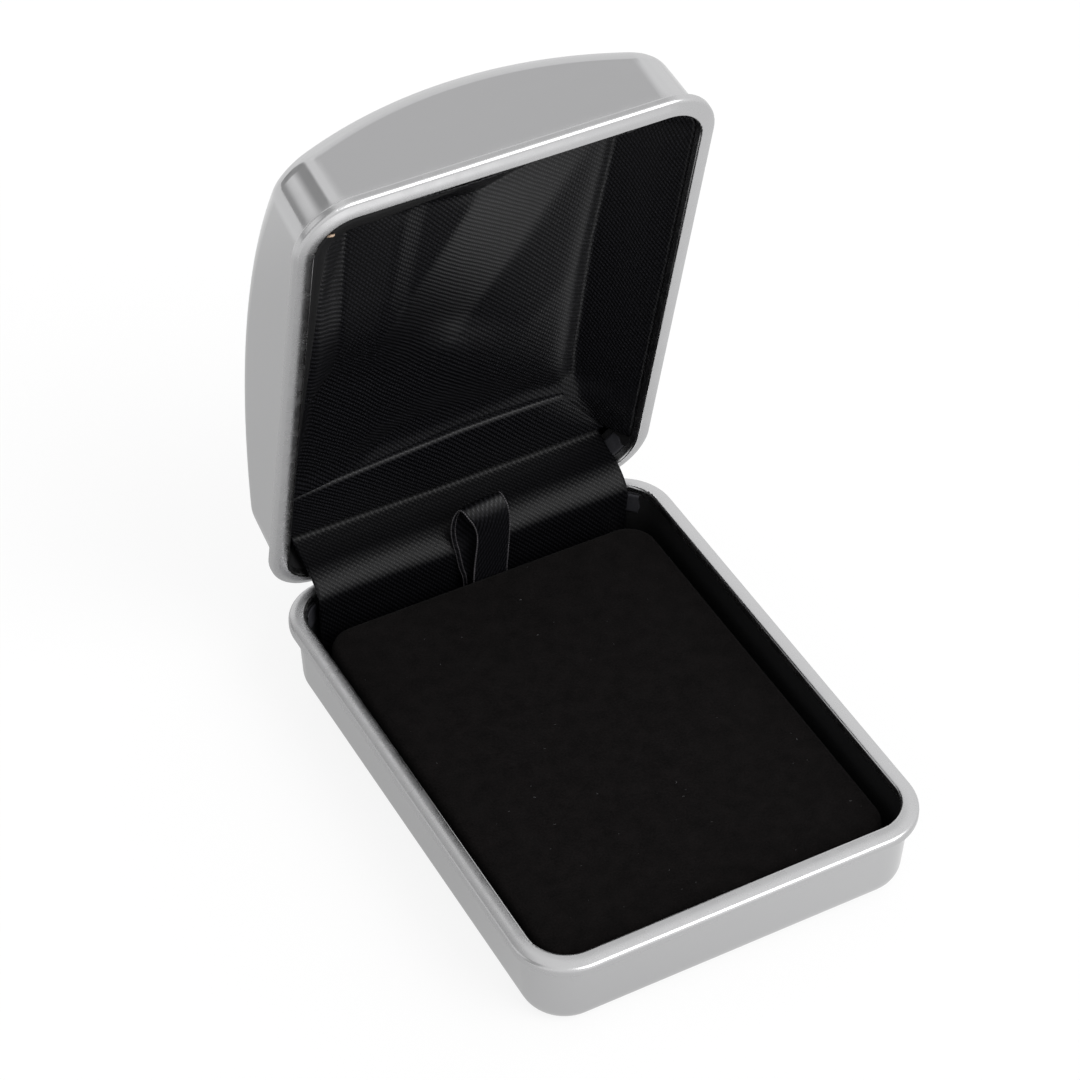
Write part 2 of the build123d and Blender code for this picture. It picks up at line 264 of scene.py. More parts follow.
def grid_faces(rows: int, cols: int, flip: bool = False) -> list[tuple[int, int, int, int]]:
    """Quads of a rows x cols grid of points numbered row by row.

    Args:
        rows: points along the first direction.
        cols: points along the second.
        flip: turns the faces over.
    Returns:
        The faces.
    """
    quads = [(r * cols + c, r * cols + c + 1, (r + 1) * cols + c + 1, (r + 1) * cols + c)
             for r in range(rows - 1) for c in range(cols - 1)]
    return [q[::-1] for q in quads] if flip else quads


def smoothstep(low: float, high: float, value: Array) -> Array:
    """Rises smoothly from 0 at low to 1 at high."""
    t = np.clip((value - low) / (high - low), 0, 1)
    return t * t * (3 - 2 * t)


def ease_in(distance: Array, length: float, power: float) -> Array:
    """Rises from 0 and nears 1 over about that length."""
    return 1 - np.exp(-(distance / length) ** power)


def smooth_min(a: Array, b: Array, k: float) -> Array:
    """The lower of two surfaces, rounded over a width k where they meet."""
    t = np.clip(0.5 + 0.5 * (b - a) / k, 0, 1)
    return b * (1 - t) + a * t - k * t * (1 - t)


def wander(seed: int, knots: int, spread: float, cols: int) -> Array:
    """A slow random wander across a cloth, with one value for each column."""
    drawn = np.random.default_rng(seed).normal(0, spread, knots)
    return np.interp(np.linspace(0, 1, cols), np.linspace(0, 1, knots), drawn)


def run_lengths(line: Array) -> Array:
    """Distance along a line of points, from its first."""
    return np.concatenate([[0], np.cumsum(np.linalg.norm(np.diff(line, axis=0), axis=1))])


def resample(line: Array, along: Array, at: Array) -> Array:
    """A line of points read at other distances, given the distances of its own points."""
    return np.column_stack([np.interp(at, along, line[:, k]) for k in range(line.shape[1])])


def spline(points: Sequence[Sequence[float]], steps: int) -> Array:
    """A smooth line through control points (Catmull-Rom), evenly resampled.

    Args:
        points: control points of any dimension.
        steps: how many points to return.
    Returns:
        steps x dimension array, evenly spaced along the line.
    """
    per_span = 24
    p = np.asarray(points, float)
    p = np.vstack([2 * p[0] - p[1], p, 2 * p[-1] - p[-2]])
    t = np.linspace(0, 1, per_span, endpoint=False)[:, None]
    dense = [0.5 * (2 * b + (c - a) * t + (2 * a - 5 * b + 4 * c - d) * t**2 + (3 * b - a - 3 * c + d) * t**3)
             for a, b, c, d in zip(p, p[1:], p[2:], p[3:])]
    line = np.vstack([*dense, p[-2]])
    along = run_lengths(line)
    return resample(line, along, np.linspace(0, along[-1], steps))


def along_line(points: Sequence[Sequence[float]], at: Array) -> Array:
    """The second coordinate of a line through points, with its corners eased, read at values of the first.

    Args:
        points: (first, second) pairs in the order of the first.
        at: values of the first.
    Returns:
        The second coordinate at each.
    """
    samples, width = 600, 31  # width of the easing, in samples
    given = np.asarray(points, float)
    fine = np.linspace(given[0, 0], given[-1, 0], samples)
    ease = np.hanning(width) / np.hanning(width).sum()
    value = np.pad(np.interp(fine, *given.T), width // 2, mode="reflect", reflect_type="odd")
    return np.interp(at, fine, np.convolve(value, ease, "valid"))


# ---------------------------------------- the frame
class Body(Enum):
    """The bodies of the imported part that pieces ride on."""
    BASE = "base"
    LID = "lid"
    PAD = "pad"


class Slot(Enum):
    """The cloths of the box."""
    SATIN = "black_satin"
    VELVET = "black_velvet"


@dataclass(frozen=True)
class BoxFrame:
    """Where the rims and the hinge are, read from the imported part."""
    axis_y: float
    axis_z: float
    open_angle: float  # radians from closed to rest
    rim_z: float
    lid_rim_z: float  # the lid's rim plane when it is closed

    @classmethod
    def read(cls) -> "BoxFrame":
        """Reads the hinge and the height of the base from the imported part.

        Returns:
            The box's frame.
        """
        hinge = next(j for j in frame["joints"] if j["name"] == "lid_hinge")
        y, z = hinge["pos_m"][1] / MM, hinge["pos_m"][2] / MM
        return cls(y, z, math.radians(hinge["range_deg"][1]), z - RIM_GAP / 2, z + RIM_GAP / 2)

    def lid_plane(self) -> Triple:
        """The open lid's rim plane: y and z of its normal, and its distance from the origin."""
        c, s = math.cos(self.open_angle), math.sin(self.open_angle)
        return s, c, self.axis_y * s + self.axis_z * c

    def lid_points(self, rim_points: Array) -> Array:
        """Moves points (x, y, h) of the lid's rim frame to the open lid.

        Args:
            rim_points: N x 3, millimetres.
        Returns:
            N x 3, millimetres in the row frame.
        """
        x, y, h = np.asarray(rim_points, float).T
        dy, dz = y - self.axis_y, h + self.lid_rim_z - self.axis_z
        c, s = math.cos(self.open_angle), math.sin(self.open_angle)
        return np.column_stack([x, self.axis_y + dy * c + dz * s, self.axis_z + dz * c - dy * s])


@dataclass(frozen=True)
class Plan:
    """A rounded rectangle in plan, as a grid of rows whose ends follow the outline."""
    half_x: float
    y_front: float
    y_rear: float
    front_radius: float
    rear_radius: float
    cell: float

    def rows(self) -> Array:
        """Row positions along y, closer together in the rounded corners.

        Returns:
            The positions, from the front.
        """
        turn = 1 - np.cos(np.linspace(0, math.pi / 2, 12))
        start, stop = self.y_front + self.front_radius, self.y_rear - self.rear_radius
        straight = np.linspace(start, stop, max(2, round((stop - start) / self.cell) + 1))
        y = np.concatenate([self.y_front + self.front_radius * turn, straight,
                            self.y_rear - self.rear_radius * turn[::-1]])
        return y[np.concatenate([[True], np.diff(y) > 1e-6])]

    def half_width(self, y: Array) -> Array:
        """Half the width of the outline at y.

        Args:
            y: positions along y.
        Returns:
            The half width at each.
        """
        wide = np.full_like(y, self.half_x)
        for radius, depth in ((self.front_radius, y - self.y_front), (self.rear_radius, self.y_rear - y)):
            inside = np.clip(radius - depth, 0, radius)
            wide = np.minimum(wide, self.half_x - radius + np.sqrt(np.maximum(radius**2 - inside**2, 0)))
        return wide

    def grid(self) -> Array:
        """The grid's points, rows x columns x 2.

        Returns:
            x and y of every point.
        """
        y = self.rows()
        cols = round(2 * self.half_x / self.cell) + 1
        across = np.linspace(-1, 1, cols)
        x = self.half_width(y)[:, None] * across[None, :]
        return np.dstack([x, np.repeat(y[:, None], cols, axis=1)])

    def edge_distance(self, x: Array, y: Array, radius: float) -> Array:
        """Distance inside the outline when all its corners have that radius.

        Args:
            x: points across the box.
            y: points along it, of the same shape.
            radius: of the corners.
        Returns:
            The distance at each point, negative outside.
        """
        middle, half_y = (self.y_front + self.y_rear) / 2, (self.y_rear - self.y_front) / 2
        qx, qy = np.abs(x) - (self.half_x - radius), np.abs(y - middle) - (half_y - radius)
        outside = np.hypot(np.maximum(qx, 0), np.maximum(qy, 0))
        return radius - outside - np.minimum(np.maximum(qx, qy), 0)


# ---------------------------------------- finishes
class Shading(Graph):
    """The nodes of a material being made, laid out on one set of coordinates in metres."""

    def __init__(self, material: Material) -> None:
        """Takes a new material; its textures follow the piece's own coordinates.

        Args:
            material: the new material.
        """
        material.use_nodes = True
        super().__init__(material.node_tree)
        self.shader = self.tree.nodes["Principled BSDF"]
        self.where = self.add("ShaderNodeTexCoord", out="Object")

    def set(self, values: dict[str, Any]) -> None:
        """Fills the shader's inputs with values or sockets."""
        self.fill(self.shader, values)

    def grain(self, wavelength: float, detail: float = 2.0) -> Socket:
        """Noise on the material's coordinates, from 0 to 1."""
        return self.noise(self.where, wavelength, detail)

    def mix(self, share: Socket, low: str, high: str) -> None:
        """Blends the base colour between two colours."""
        inputs = {"Factor": share, 6: linear(low), 7: linear(high)}
        self.set({"Base Color": self.add("ShaderNodeMix", inputs, 2, data_type="RGBA")})

    def shade(self, colour: str, brightness: Socket) -> None:
        """Makes the base colour brighter and darker."""
        inputs = {"Color": linear(colour), "Value": brightness}
        self.set({"Base Color": self.add("ShaderNodeHueSaturation", inputs)})

    def relief(self, height: Socket, depth: float, below: Optional[Socket] = None) -> Socket:
        """Bump, set on the shader's normal.

        Args:
            height: a 0 to 1 socket.
            depth: millimetres between 0 and 1.
            below: a normal to build on.
        Returns:
            The bumped normal.
        """
        under = {} if below is None else {"Normal": below}
        bump = self.add("ShaderNodeBump", {"Height": height, "Distance": depth * MM, **under})
        self.set({"Normal": bump})
        return bump


@dataclass(frozen=True)
class Finish:
    """A material's name and the shader sockets that every finish sets."""
    name: str
    colour: str
    roughness: float
    metallic: float = 0.0

    def build(self) -> Material:
        """Makes the material, and then the finish's own nodes in it.

        Returns:
            The material.
        """
        material = bpy.data.materials.new(self.name)
        paint = Shading(material)
        paint.set({"Base Color": linear(self.colour), "Roughness": self.roughness, "Metallic": self.metallic})
        self.draw(paint)
        return material

    def draw(self, paint: Shading) -> None:
        """Adds the finish's own nodes."""
        raise NotImplementedError


@dataclass(frozen=True)
class BrightPlate(Finish):
    """Bright nickel-chrome plating on pressed steel: a grey mirror, and softer on the rolled rim."""
    rim: Triple = (0.0, 1.0, 0.0)  # y and z of the rim plane's normal; its distance
    rim_reach: Pair = (2.9, 4.4)  # from the rim plane to the end of the rim, and to the wall
    wall_roughness: float = 0.13
    wave: float = 11.0  # length of the pressing's waviness
    wave_depth: float = 0.02
    grain: float = 1.3
    grain_depth: float = 0.0006
    haze: float = 2.2  # length of the polish's cloudiness
    haze_range: Pair = (0.85, 1.2)  # on the roughness

    def draw(self, paint: Shading) -> None:
        """Makes it wavy by hundredths of a millimetre, and cloudy in its polish.

        Args:
            paint: the material's nodes.
        """
        split = paint.add("ShaderNodeSeparateXYZ", {0: paint.where}, None)
        above = paint.maths("MULTIPLY_ADD", split[2], self.rim[1], -self.rim[2] * MM)
        apart = paint.maths("ABSOLUTE", paint.maths("MULTIPLY_ADD", split[1], self.rim[0], above))
        soft = paint.ramp(apart, self.rim_reach[0] * MM, self.rim_reach[1] * MM,
                          (self.roughness, self.wall_roughness), smooth=True)
        haze = paint.ramp(paint.grain(self.haze, 4.0), 0.3, 0.75, self.haze_range)
        paint.set({"Roughness": paint.maths("MULTIPLY", soft, haze)})
        waves = paint.relief(paint.grain(self.wave, 1.0), self.wave_depth)
        paint.relief(paint.grain(self.grain), self.grain_depth, below=waves)


@dataclass(frozen=True)
class SatinWeave(Finish):
    """Black acetate satin: dark and smooth, glinting in rows of dots where filament floats catch light.

    The floats run down the cloth, so its shine spreads across them and is narrow along them.
    """
    twill: float = 0.66  # between twill rows, measured across them
    twill_turn: float = -44.0  # degrees from across the cloth to the way the rows follow each other
    column: float = 0.51  # between columns of floats
    column_turn: float = 8.0
    column_share: float = 0.6  # of the height
    uneven: float = 0.55
    drift: float = 11.0  # length of the yarns' wander, and how far they go
    wander: float = 0.5
    yarn_depth: float = 0.028
    gloss: float = 0.19
    lengthwise: float = 0.45  # how much the floats stretch the shine
    rough_range: Pair = (1.5, 0.8)  # on the roughness, in the valleys and on the floats
    # painted shade: the colour that the base colour darkens towards in the hollows between floats
    valley_shade: str = "#010102"

    @staticmethod
    def wave(paint: Shading, uv: Sequence[Socket], pitch: float, turn: float) -> Socket:
        """A wave over the cloth.

        Args:
            paint: the material's nodes.
            uv: the ways across the cloth and down it.
            pitch: millimetres from crest to crest.
            turn: its direction, in degrees.
        Returns:
            The wave, from 0 to 1.
        """
        step, angle = 2 * math.pi / (pitch * MM), math.radians(turn)
        across = paint.maths("MULTIPLY", uv[0], step * math.cos(angle))
        along = paint.maths("MULTIPLY_ADD", uv[1], step * math.sin(angle), across)
        return paint.maths("MULTIPLY_ADD", paint.maths("COSINE", along), 0.5, 0.5)

    def draw(self, paint: Shading) -> None:
        """Makes the weave from twill rows crossed by columns of floats, laid out on the flat cloth.

        Args:
            paint: the material's nodes.
        """
        paint.where = flat = paint.add("ShaderNodeAttribute", out="Vector", attribute_name=WEAVE)
        drift = paint.noise(flat, self.drift, 1.0, "Color")
        loose = paint.add("ShaderNodeVectorMath", {0: drift, "Scale": self.wander * MM}, operation="SCALE")
        moved = paint.add("ShaderNodeVectorMath", {0: flat, 1: loose}, operation="ADD")
        uv = paint.add("ShaderNodeSeparateXYZ", {0: moved}, None)
        rows = self.wave(paint, uv, self.twill, self.twill_turn)
        floats = self.wave(paint, uv, self.column, self.column_turn)
        dots = paint.maths("MULTIPLY_ADD", floats, self.column_share, 1 - self.column_share)
        uneven = paint.maths("MULTIPLY_ADD", paint.grain(self.uneven), 1.0, 0.5)
        height = paint.maths("MULTIPLY", paint.maths("MULTIPLY", rows, dots), uneven)
        # painted shade: the base colour darkens in the hollows between floats, where the weave is lowest
        paint.mix(height, self.valley_shade, self.colour)
        rough = paint.ramp(height, 0.0, 1.0, tuple(self.roughness * share for share in self.rough_range))
        tangent = paint.add("ShaderNodeTangent", direction_type="UV_MAP", uv_map=WEAVE_MAP)
        paint.set({"Roughness": rough, "Specular IOR Level": self.gloss, "Anisotropic": self.lengthwise,
                   "Tangent": tangent})
        paint.relief(height, self.yarn_depth)


@dataclass(frozen=True)
class VelvetPile(Finish):
    """Short black velvet pile: swallows light, mottled where the pile lies differently."""
    pile: float = 0.32
    pile_depth: float = 0.12
    mottle: float = 2.4
    shares: Pair = (0.65, 0.45)  # of the pile and of the mottling
    lifted: str = "#141212"

    def draw(self, paint: Shading) -> None:
        """Makes the pile from fine fuzz and broad mottling.

        Args:
            paint: the material's nodes.
        """
        fuzz = paint.grain(self.pile, 3.0)
        cloud = paint.maths("MULTIPLY", paint.grain(self.mottle, 4.0), self.shares[1])
        mixed = paint.maths("MULTIPLY_ADD", fuzz, self.shares[0], cloud)
        paint.mix(paint.ramp(mixed, 0.38, 0.72), self.colour, self.lifted)
        paint.set({"Specular IOR Level": 0.0, "Sheen Weight": 0.02, "Sheen Roughness": 0.6})
        paint.relief(fuzz, self.pile_depth)


@dataclass(frozen=True)
class PaperCard(Finish):
    """Paper-faced card: dull black with a faint fibre grain."""
    grain: float = 0.35
    grain_depth: float = 0.03

    def draw(self, paint: Shading) -> None:
        """Makes a fibre grain pressed into the paper.

        Args:
            paint: the material's nodes.
        """
        fibre = paint.grain(self.grain, 3.0)
        paint.shade(self.colour, paint.maths("MULTIPLY_ADD", fibre, 0.8, 0.6))
        paint.set({"Specular IOR Level": 0.25})
        paint.relief(fibre, self.grain_depth)


@dataclass(frozen=True)
class RolledSteel(Finish):
    """Cold-rolled strip: fine lengthwise lines and a slight cloudiness in the zinc or bluing."""
    line: float = 0.12
    line_depth: float = 0.004
    blotch: float = 1.8
    stretch: float = 0.04  # of the grain along X
    dark: str = "#5A5C60"

    def draw(self, paint: Shading) -> None:
        """Makes the rolling lines along X.

        Args:
            paint: the material's nodes.
        """
        stretched = paint.add("ShaderNodeMapping", {"Vector": paint.where, "Scale": (self.stretch, 1, 1)})
        paint.mix(paint.grain(self.blotch, 3.0), self.dark, self.colour)
        paint.relief(paint.noise(stretched, self.line), self.line_depth)


@dataclass(frozen=True)
class SoftFoam(Finish):
    """Open-cell foam or wadding: matt, with pores or fibres that show as a fine pitted grain."""
    cell: float = 0.7
    cell_depth: float = 0.2
    shadow: str = "#1A1A1B"

    def draw(self, paint: Shading) -> None:
        """Makes the filling from cells with dark pores.

        Args:
            paint: the material's nodes.
        """
        inputs = {"Vector": paint.where, "Scale": 1 / (self.cell * MM)}
        pores = paint.add("ShaderNodeTexVoronoi", inputs, "Distance")
        paint.mix(pores, self.shadow, self.colour)
        paint.set({"Specular IOR Level": 0.1})
        paint.relief(pores, self.cell_depth)


@dataclass(frozen=True)
class Fibre(Finish):
    """A single thread or speck of lint: pale against black, with a little variation."""

    def draw(self, paint: Shading) -> None:
        """Makes it lighter and darker along its length."""
        paint.shade(self.colour, paint.maths("MULTIPLY_ADD", paint.grain(3.0, 1.0), 1.6, 0.2))


@dataclass(frozen=True)
class Finishes:
    """All the finishes of the box, made once."""
    base_plate: Material
    lid_plate: Material
    satin: Material
    flap: Material
    ribbon: Material
    selvedge: Material
    velvet: Material
    card: Material
    tape: Material
    binding: Material
    zinc: Material
    spring: Material
    foam: Material
    wadding: Material
    lint: Material
    thread: Material

    @classmethod
    def make(cls, place: BoxFrame) -> "Finishes":
        """Builds every material.

        Args:
            place: where the rims are, which the plating is softest on.
        Returns:
            The finishes.
        """
        plate = ("#C6C6C7", 0.265, 1.0)
        return cls(
            base_plate=BrightPlate("bright_nickel_chrome_plate", *plate, rim=(0.0, 1.0, place.rim_z)).build(),
            lid_plate=BrightPlate("bright_nickel_chrome_plate_lid", *plate, rim=place.lid_plane()).build(),
            satin=SatinWeave("black_acetate_satin", "#1F1F22", 0.28).build(),
            flap=SatinWeave("black_satin_facing", "#161618", 0.33, twill_turn=-40.0, yarn_depth=0.046,
                            gloss=0.15).build(),
            ribbon=SatinWeave("black_satin_ribbon", "#1B1B1E", 0.33, twill_turn=-30.0,
                              yarn_depth=0.036).build(),
            selvedge=Fibre("grey_selvedge_yarn", "#3C3A3D", 0.45).build(),
            velvet=VelvetPile("black_velvet_pile", "#090808", 0.9).build(),
            card=PaperCard("black_paper_faced_card", "#161617", 0.62).build(),
            tape=PaperCard("grey_gummed_tape", "#303034", 0.6).build(),
            binding=PaperCard("charcoal_binding_tape", "#101011", 0.55).build(),
            zinc=RolledSteel("zinc_plated_steel_strip", "#9A9B9E", 0.34, 1.0).build(),
            spring=RolledSteel("blued_spring_steel", "#54565C", 0.3, 1.0, dark="#2C2E34").build(),
            foam=SoftFoam("charcoal_polyether_foam", "#3A3A3C", 0.95).build(),
            wadding=SoftFoam("polyester_wadding", "#C9C8C2", 0.95, cell=0.9, shadow="#8E8D88").build(),
            lint=Fibre("grey_lint_fibre", "#565658", 0.8).build(),
            thread=Fibre("tan_sewing_thread", "#A08B78", 0.7).build(),
        )


# ---------------------------------------- lid
@dataclass
class Piece:
    """What every modelled piece works from: the box's frame and its materials."""
    place: BoxFrame
    finishes: Finishes

    @staticmethod
    def hand_over(made: Object, slot: Slot, body: Optional[Body],
                  finish: Optional[Material] = None, replaces: str = "") -> None:
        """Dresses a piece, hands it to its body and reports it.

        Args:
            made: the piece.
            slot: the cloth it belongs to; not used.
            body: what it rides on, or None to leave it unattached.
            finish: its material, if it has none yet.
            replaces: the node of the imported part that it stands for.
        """
        if finish:
            made.data.materials.append(finish)
        if replaces:
            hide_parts(replaces)
        if body:
            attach(made, body.value)
        log.info("%s: %d faces", made.name, len(made.data.polygons))

    @staticmethod
    def lay_flat(made: Object, width: float, length: float, **held: Any) -> None:
        """Reports a cloth's flat size in millimetres."""
        log.info("%s: %.0f x %.0f mm flat", made.name, width, length)


@dataclass(frozen=True)
class Fold:
    """A fold in the lining: a bent ridge with a slope on each side of it."""
    line: Line
    height: float  # towards the room; negative is a valley
    left: float  # width of the slope on the left, with the hinge downwards
    right: float
    fade: float = 6.0  # how far the ends run out
    crest: float = 0.6  # roundness of the ridge
    hollow: float = 1.2  # how hollow the slopes are

    def lift(self, x: Array, y: Array) -> Array:
        """How far the fold lifts the cloth.

        Args:
            x: points across the lid.
            y: points along it, of the same shape.
        Returns:
            The lift at each point.
        """
        path = spline(self.line, 60)
        along = run_lengths(path)
        flat = columns(x, y)
        gap = flat[:, None, :] - path[None, :, :]
        near = (gap**2).sum(axis=2).argmin(axis=1)
        away, way, at = gap[np.arange(len(flat)), near], np.gradient(path, axis=0)[near], along[near]
        side = way[:, 0] * away[:, 1] - way[:, 1] * away[:, 0]
        width = np.where(side > 0, self.left, self.right)
        from_crest = np.sqrt((away**2).sum(axis=1) + self.crest**2) - self.crest
        ends = smoothstep(0, self.fade, at) * smoothstep(0, self.fade, along[-1] - at)
        return (self.height * np.clip(1 - from_crest / width, 0, 1) ** self.hollow * ends).reshape(x.shape)


@dataclass
class LidLining(Piece):
    """The satin stretched in the lid: a border that slopes in from the mouth, and a loosely folded panel."""
    half_x: float = 31.25
    front_y: float = -42.25
    rear_y: float = 37.8
    corner: float = 6.1
    hem_h: float = 1.55  # hem's depth below the rim plane
    panel_h: float = 8.5  # where the panel is deepest
    cell: float = 0.45
    crease: Line = (  # (y, x) where the right border meets the panel
        (-44.0, 22.6), (-27.5, 22.0), (-18.9, 21.6), (-8.1, 21.2), (4.6, 21.5), (18.3, 21.9), (28.8, 23.2),
        (33.3, 25.7), (39.8, 28.7))
    depth: Line = (  # (y, h) of the panel's creased edge
        (-44.0, 8.5), (25.0, 8.5), (29.0, 6.6), (33.0, 6.4), (38.5, 6.0), (40.0, 5.9))
    left_slope: Line = (  # (y, width) of the left border
        (-44.0, 6.5), (4.0, 6.5), (14.0, 5.5), (21.0, 4.0), (26.0, 2.0), (40.0, 1.6))
    left_round: float = 1.7
    front_slope: float = 9.9  # width of the front border
    front_share: float = 0.86  # of that width, where the panel begins
    slack_end: Line = (  # (x, y) where the padding ends, ahead of the band
        (-32.0, 31.0), (-22.0, 30.0), (-16.0, 27.6), (-9.5, 22.8), (-2.6, 21.2), (8.4, 23.0), (19.7, 26.3),
        (32.0, 29.0))
    slack_fall: Pair = (4.5, 1.4)  # length and power of the swell's rise from there
    crease_rise: Pair = (2.4, 1.6)  # and from the crease
    fold_rise: Pair = (2.5, 2.0)  # and of the folds from the crease
    left_rise: Pair = (-31.5, -27.5)  # x between which it rises on the left
    corner_ease: float = 0.06  # roundness where two borders meet, as a share of the rise
    crease_ease: float = 0.08  # and where they meet the panel
    front_ease: float = 0.5  # and where the front slope does, in millimetres
    puff: float = 1.2  # how far the panel swells just inside its crease
    puff_reach: float = 6.0
    crown: float = 1.3  # and everywhere else
    cloth: float = 0.25
    folds: tuple[Fold, ...] = (
        Fold(((2.0, -44.0), (-3.9, -31.8), (-9.6, -20.0), (-15.4, -8.7), (-22.0, 4.0)),
             2.6, 16.0, 18.0, 15.0),
        Fold(((23.0, -42.0), (15.9, -28.4), (8.7, -13.2), (1.3, -1.6), (-2.6, 6.0)),
             -1.2, 18.0, 11.0, 8.0, 1.0),
        Fold(((-12.6, -44.0), (-14.6, -31.0), (-15.8, -20.0), (-18.0, -2.0)), 0.9, 9.0, 3.4, 14.0),
        Fold(((-20.5, 28.1), (-18.8, 25.0), (-17.1, 22.0), (-12.0, 17.0)), 0.22, 1.4, 1.8, 3.0),
    )

    def border(self, x: Array, y: Array) -> Array:
        """The border's rise, 0 at the hem and 1 at the panel.

        Args:
            x: points across the lid.
            y: points along it, of the same shape.
        Returns:
            The rise at each point.
        """
        ring = Plan(self.half_x, self.front_y, -3 * self.front_y, 0, 0, self.cell)  # open at the rear
        inside = ring.edge_distance(x, y, self.corner) + np.clip(y, 0, None)
        left = np.clip((self.half_x + x) / along_line(self.left_slope, y), 0, 1)
        right = (self.half_x - x) / (self.half_x - along_line(self.crease, y))
        rise = smooth_min(right, 1 - (1 - left) ** self.left_round, self.corner_ease)
        rise = smooth_min(rise, inside / (self.front_slope * self.front_share), self.corner_ease)
        return smooth_min(rise, np.ones_like(rise), self.crease_ease)

    def panel_lift(self, x: Array, y: Array) -> Array:
        """How far the panel stands proud of its creased edge: the padding, then the folds.

        Args:
            x: points across the lid.
            y: points along it, of the same shape.
        Returns:
            The lift at each point.
        """
        from_crease = np.clip(along_line(self.crease, y) - x, 0, None)
        from_end = np.clip(along_line(self.slack_end, x) - y, 0, None)
        puffed = self.crown + self.puff * np.exp(-from_crease / self.puff_reach)
        folds = sum(fold.lift(x, y) for fold in self.folds) * ease_in(from_crease, *self.fold_rise)
        lift = ease_in(from_crease, *self.crease_rise) * puffed + folds
        return lift * ease_in(from_end, *self.slack_fall) * smoothstep(*self.left_rise, x)

    def height(self, x: Array, y: Array) -> Array:
        """Depth of the lining below the rim plane.

        Args:
            x: points across the lid.
            y: points along it, of the same shape.
        Returns:
            The depth at each point.
        """
        rise = (along_line(self.depth, y) - self.hem_h) * self.border(x, y)
        panel = self.hem_h + rise - self.panel_lift(x, y)
        front = self.hem_h + (self.panel_h - self.hem_h) * (y - self.front_y) / self.front_slope
        return np.maximum(smooth_min(panel, front, self.front_ease), np.minimum(panel, self.hem_h))

    @staticmethod
    def walked(way: Array, h: Array, axis: int) -> Array:
        """Distance over the cloth along one direction of its grid."""
        steps = np.hypot(np.diff(way, axis=axis), np.diff(h, axis=axis))
        return np.insert(np.cumsum(steps, axis=axis), 0, 0, axis=axis)

    def build(self) -> None:
        """Makes the lining and hands it to the lid."""
        grid = Plan(self.half_x, self.front_y, self.rear_y, self.corner, 0.0, self.cell).grid()
        rows, cols = grid.shape[:2]
        x, y = grid[..., 0], grid[..., 1]
        h = self.height(x, y)
        u, v = self.walked(x, h, 1), self.walked(y, h, 0)
        u -= u[:, cols // 2][:, None]
        made = cloth_sheet("lid_satin_lining", self.place.lid_points(columns(x, y, h)), cols,
                           columns(u, v - v[rows // 2].mean()), self.cloth)
        self.hand_over(made, Slot.SATIN, Body.LID, self.finishes.satin, "lid_satin")
        self.lay_flat(made, float(u[:, -1].max() - u[:, 0].min()), float(v[-1].max()), held="stretched",
                      rests_on=["lid_wadding", "lid_wall_lining"])


@dataclass
class SatinBand(Piece):
    """The padded satin band across the rear of the lid, wrapped round its card."""
    front_edge: Line = (  # (x, y) of the front edge
        (-30.0, 29.2), (-20.0, 28.2), (-13.2, 27.6), (-6.0, 27.0), (1.0, 26.5), (8.0, 26.4), (15.0, 26.7),
        (20.5, 27.3))
    front_h: Line = ((-30.0, 6.1), (8.0, 6.1), (15.0, 6.25), (20.5, 6.5))
    rear_y: float = 38.5
    rear_h: float = 5.55
    left_x: float = -29.6
    right_x: Pair = (20.3, 28.7)  # at the front edge and at the rear
    slant_y: float = 27.3  # where the right end starts to slant
    puff: float = 0.15
    front_r: float = 0.8
    rear_r: float = 0.3
    front_tuck: Line = ((0.5, 3.2), (0.12, 1.9))  # (y, h) behind the front edge
    rear_tuck: Pair = (-0.05, 1.5)  # and behind the rear edge
    stray: float = 0.09
    seed: int = 7
    cloth: float = 0.25

    def section(self, y0: float, h0: float, wave: float) -> list[Pair]:
        """The band's wrap (y, h) at one place, from behind its front edge to behind its rear edge.

        Args:
            y0: where the front edge is.
            h0: depth of its face there.
            wave: how far the cloth strays there.
        Returns:
            The wrap's points.
        """
        r, q = self.front_r, self.rear_r
        y0, h0 = y0 + wave, h0 + 0.5 * wave
        wrap = [(y0 + y, h0 + h) for y, h in self.front_tuck]
        wrap += [(y0 + r * (1 - math.cos(a)), h0 + r * (1 - math.sin(a)))
                 for a in np.linspace(0, math.pi / 2, 10)]
        for t in np.linspace(0, 1, 18)[1:-1]:
            bow = self.puff * math.sin(math.pi * t) ** 0.8 + 0.5 * wave * (1 - t)
            wrap.append((y0 + r + (self.rear_y - q - y0 - r) * t, h0 + (self.rear_h - h0) * t - bow))
        wrap += [(self.rear_y - q * (1 - math.sin(a)), self.rear_h + q * (1 - math.cos(a)))
                 for a in np.linspace(0, math.pi / 2, 7)]
        return [*wrap, (self.rear_y + self.rear_tuck[0], self.rear_h + self.rear_tuck[1])]

    def build(self) -> None:
        """Makes the band and hands it to the lid."""
        cols = 130
        across = np.linspace(0, 1, cols)
        at = self.left_x + (self.right_x[0] - self.left_x) * across
        lines = np.array([self.section(*spot) for spot in
                          zip(along_line(self.front_edge, at), along_line(self.front_h, at),
                              wander(self.seed, 15, self.stray, cols))])
        y, h = lines[..., 0].T, lines[..., 1].T
        slant = np.clip((y - self.slant_y) / (self.rear_y - self.slant_y), 0, 1)
        right = self.right_x[0] + (self.right_x[1] - self.right_x[0]) * slant
        x = self.left_x + (right - self.left_x) * across
        along = run_lengths(lines[cols // 2])
        made = cloth_sheet("lid_satin_band", self.place.lid_points(columns(x, y, h)), cols,
                           columns(x, np.repeat(along, cols)), self.cloth)
        self.hand_over(made, Slot.SATIN, Body.LID, self.finishes.satin)
        self.lay_flat(made, self.right_x[1] - self.left_x, float(along[-1]), held="folded",
                      rests_on=["lid_band_card"])


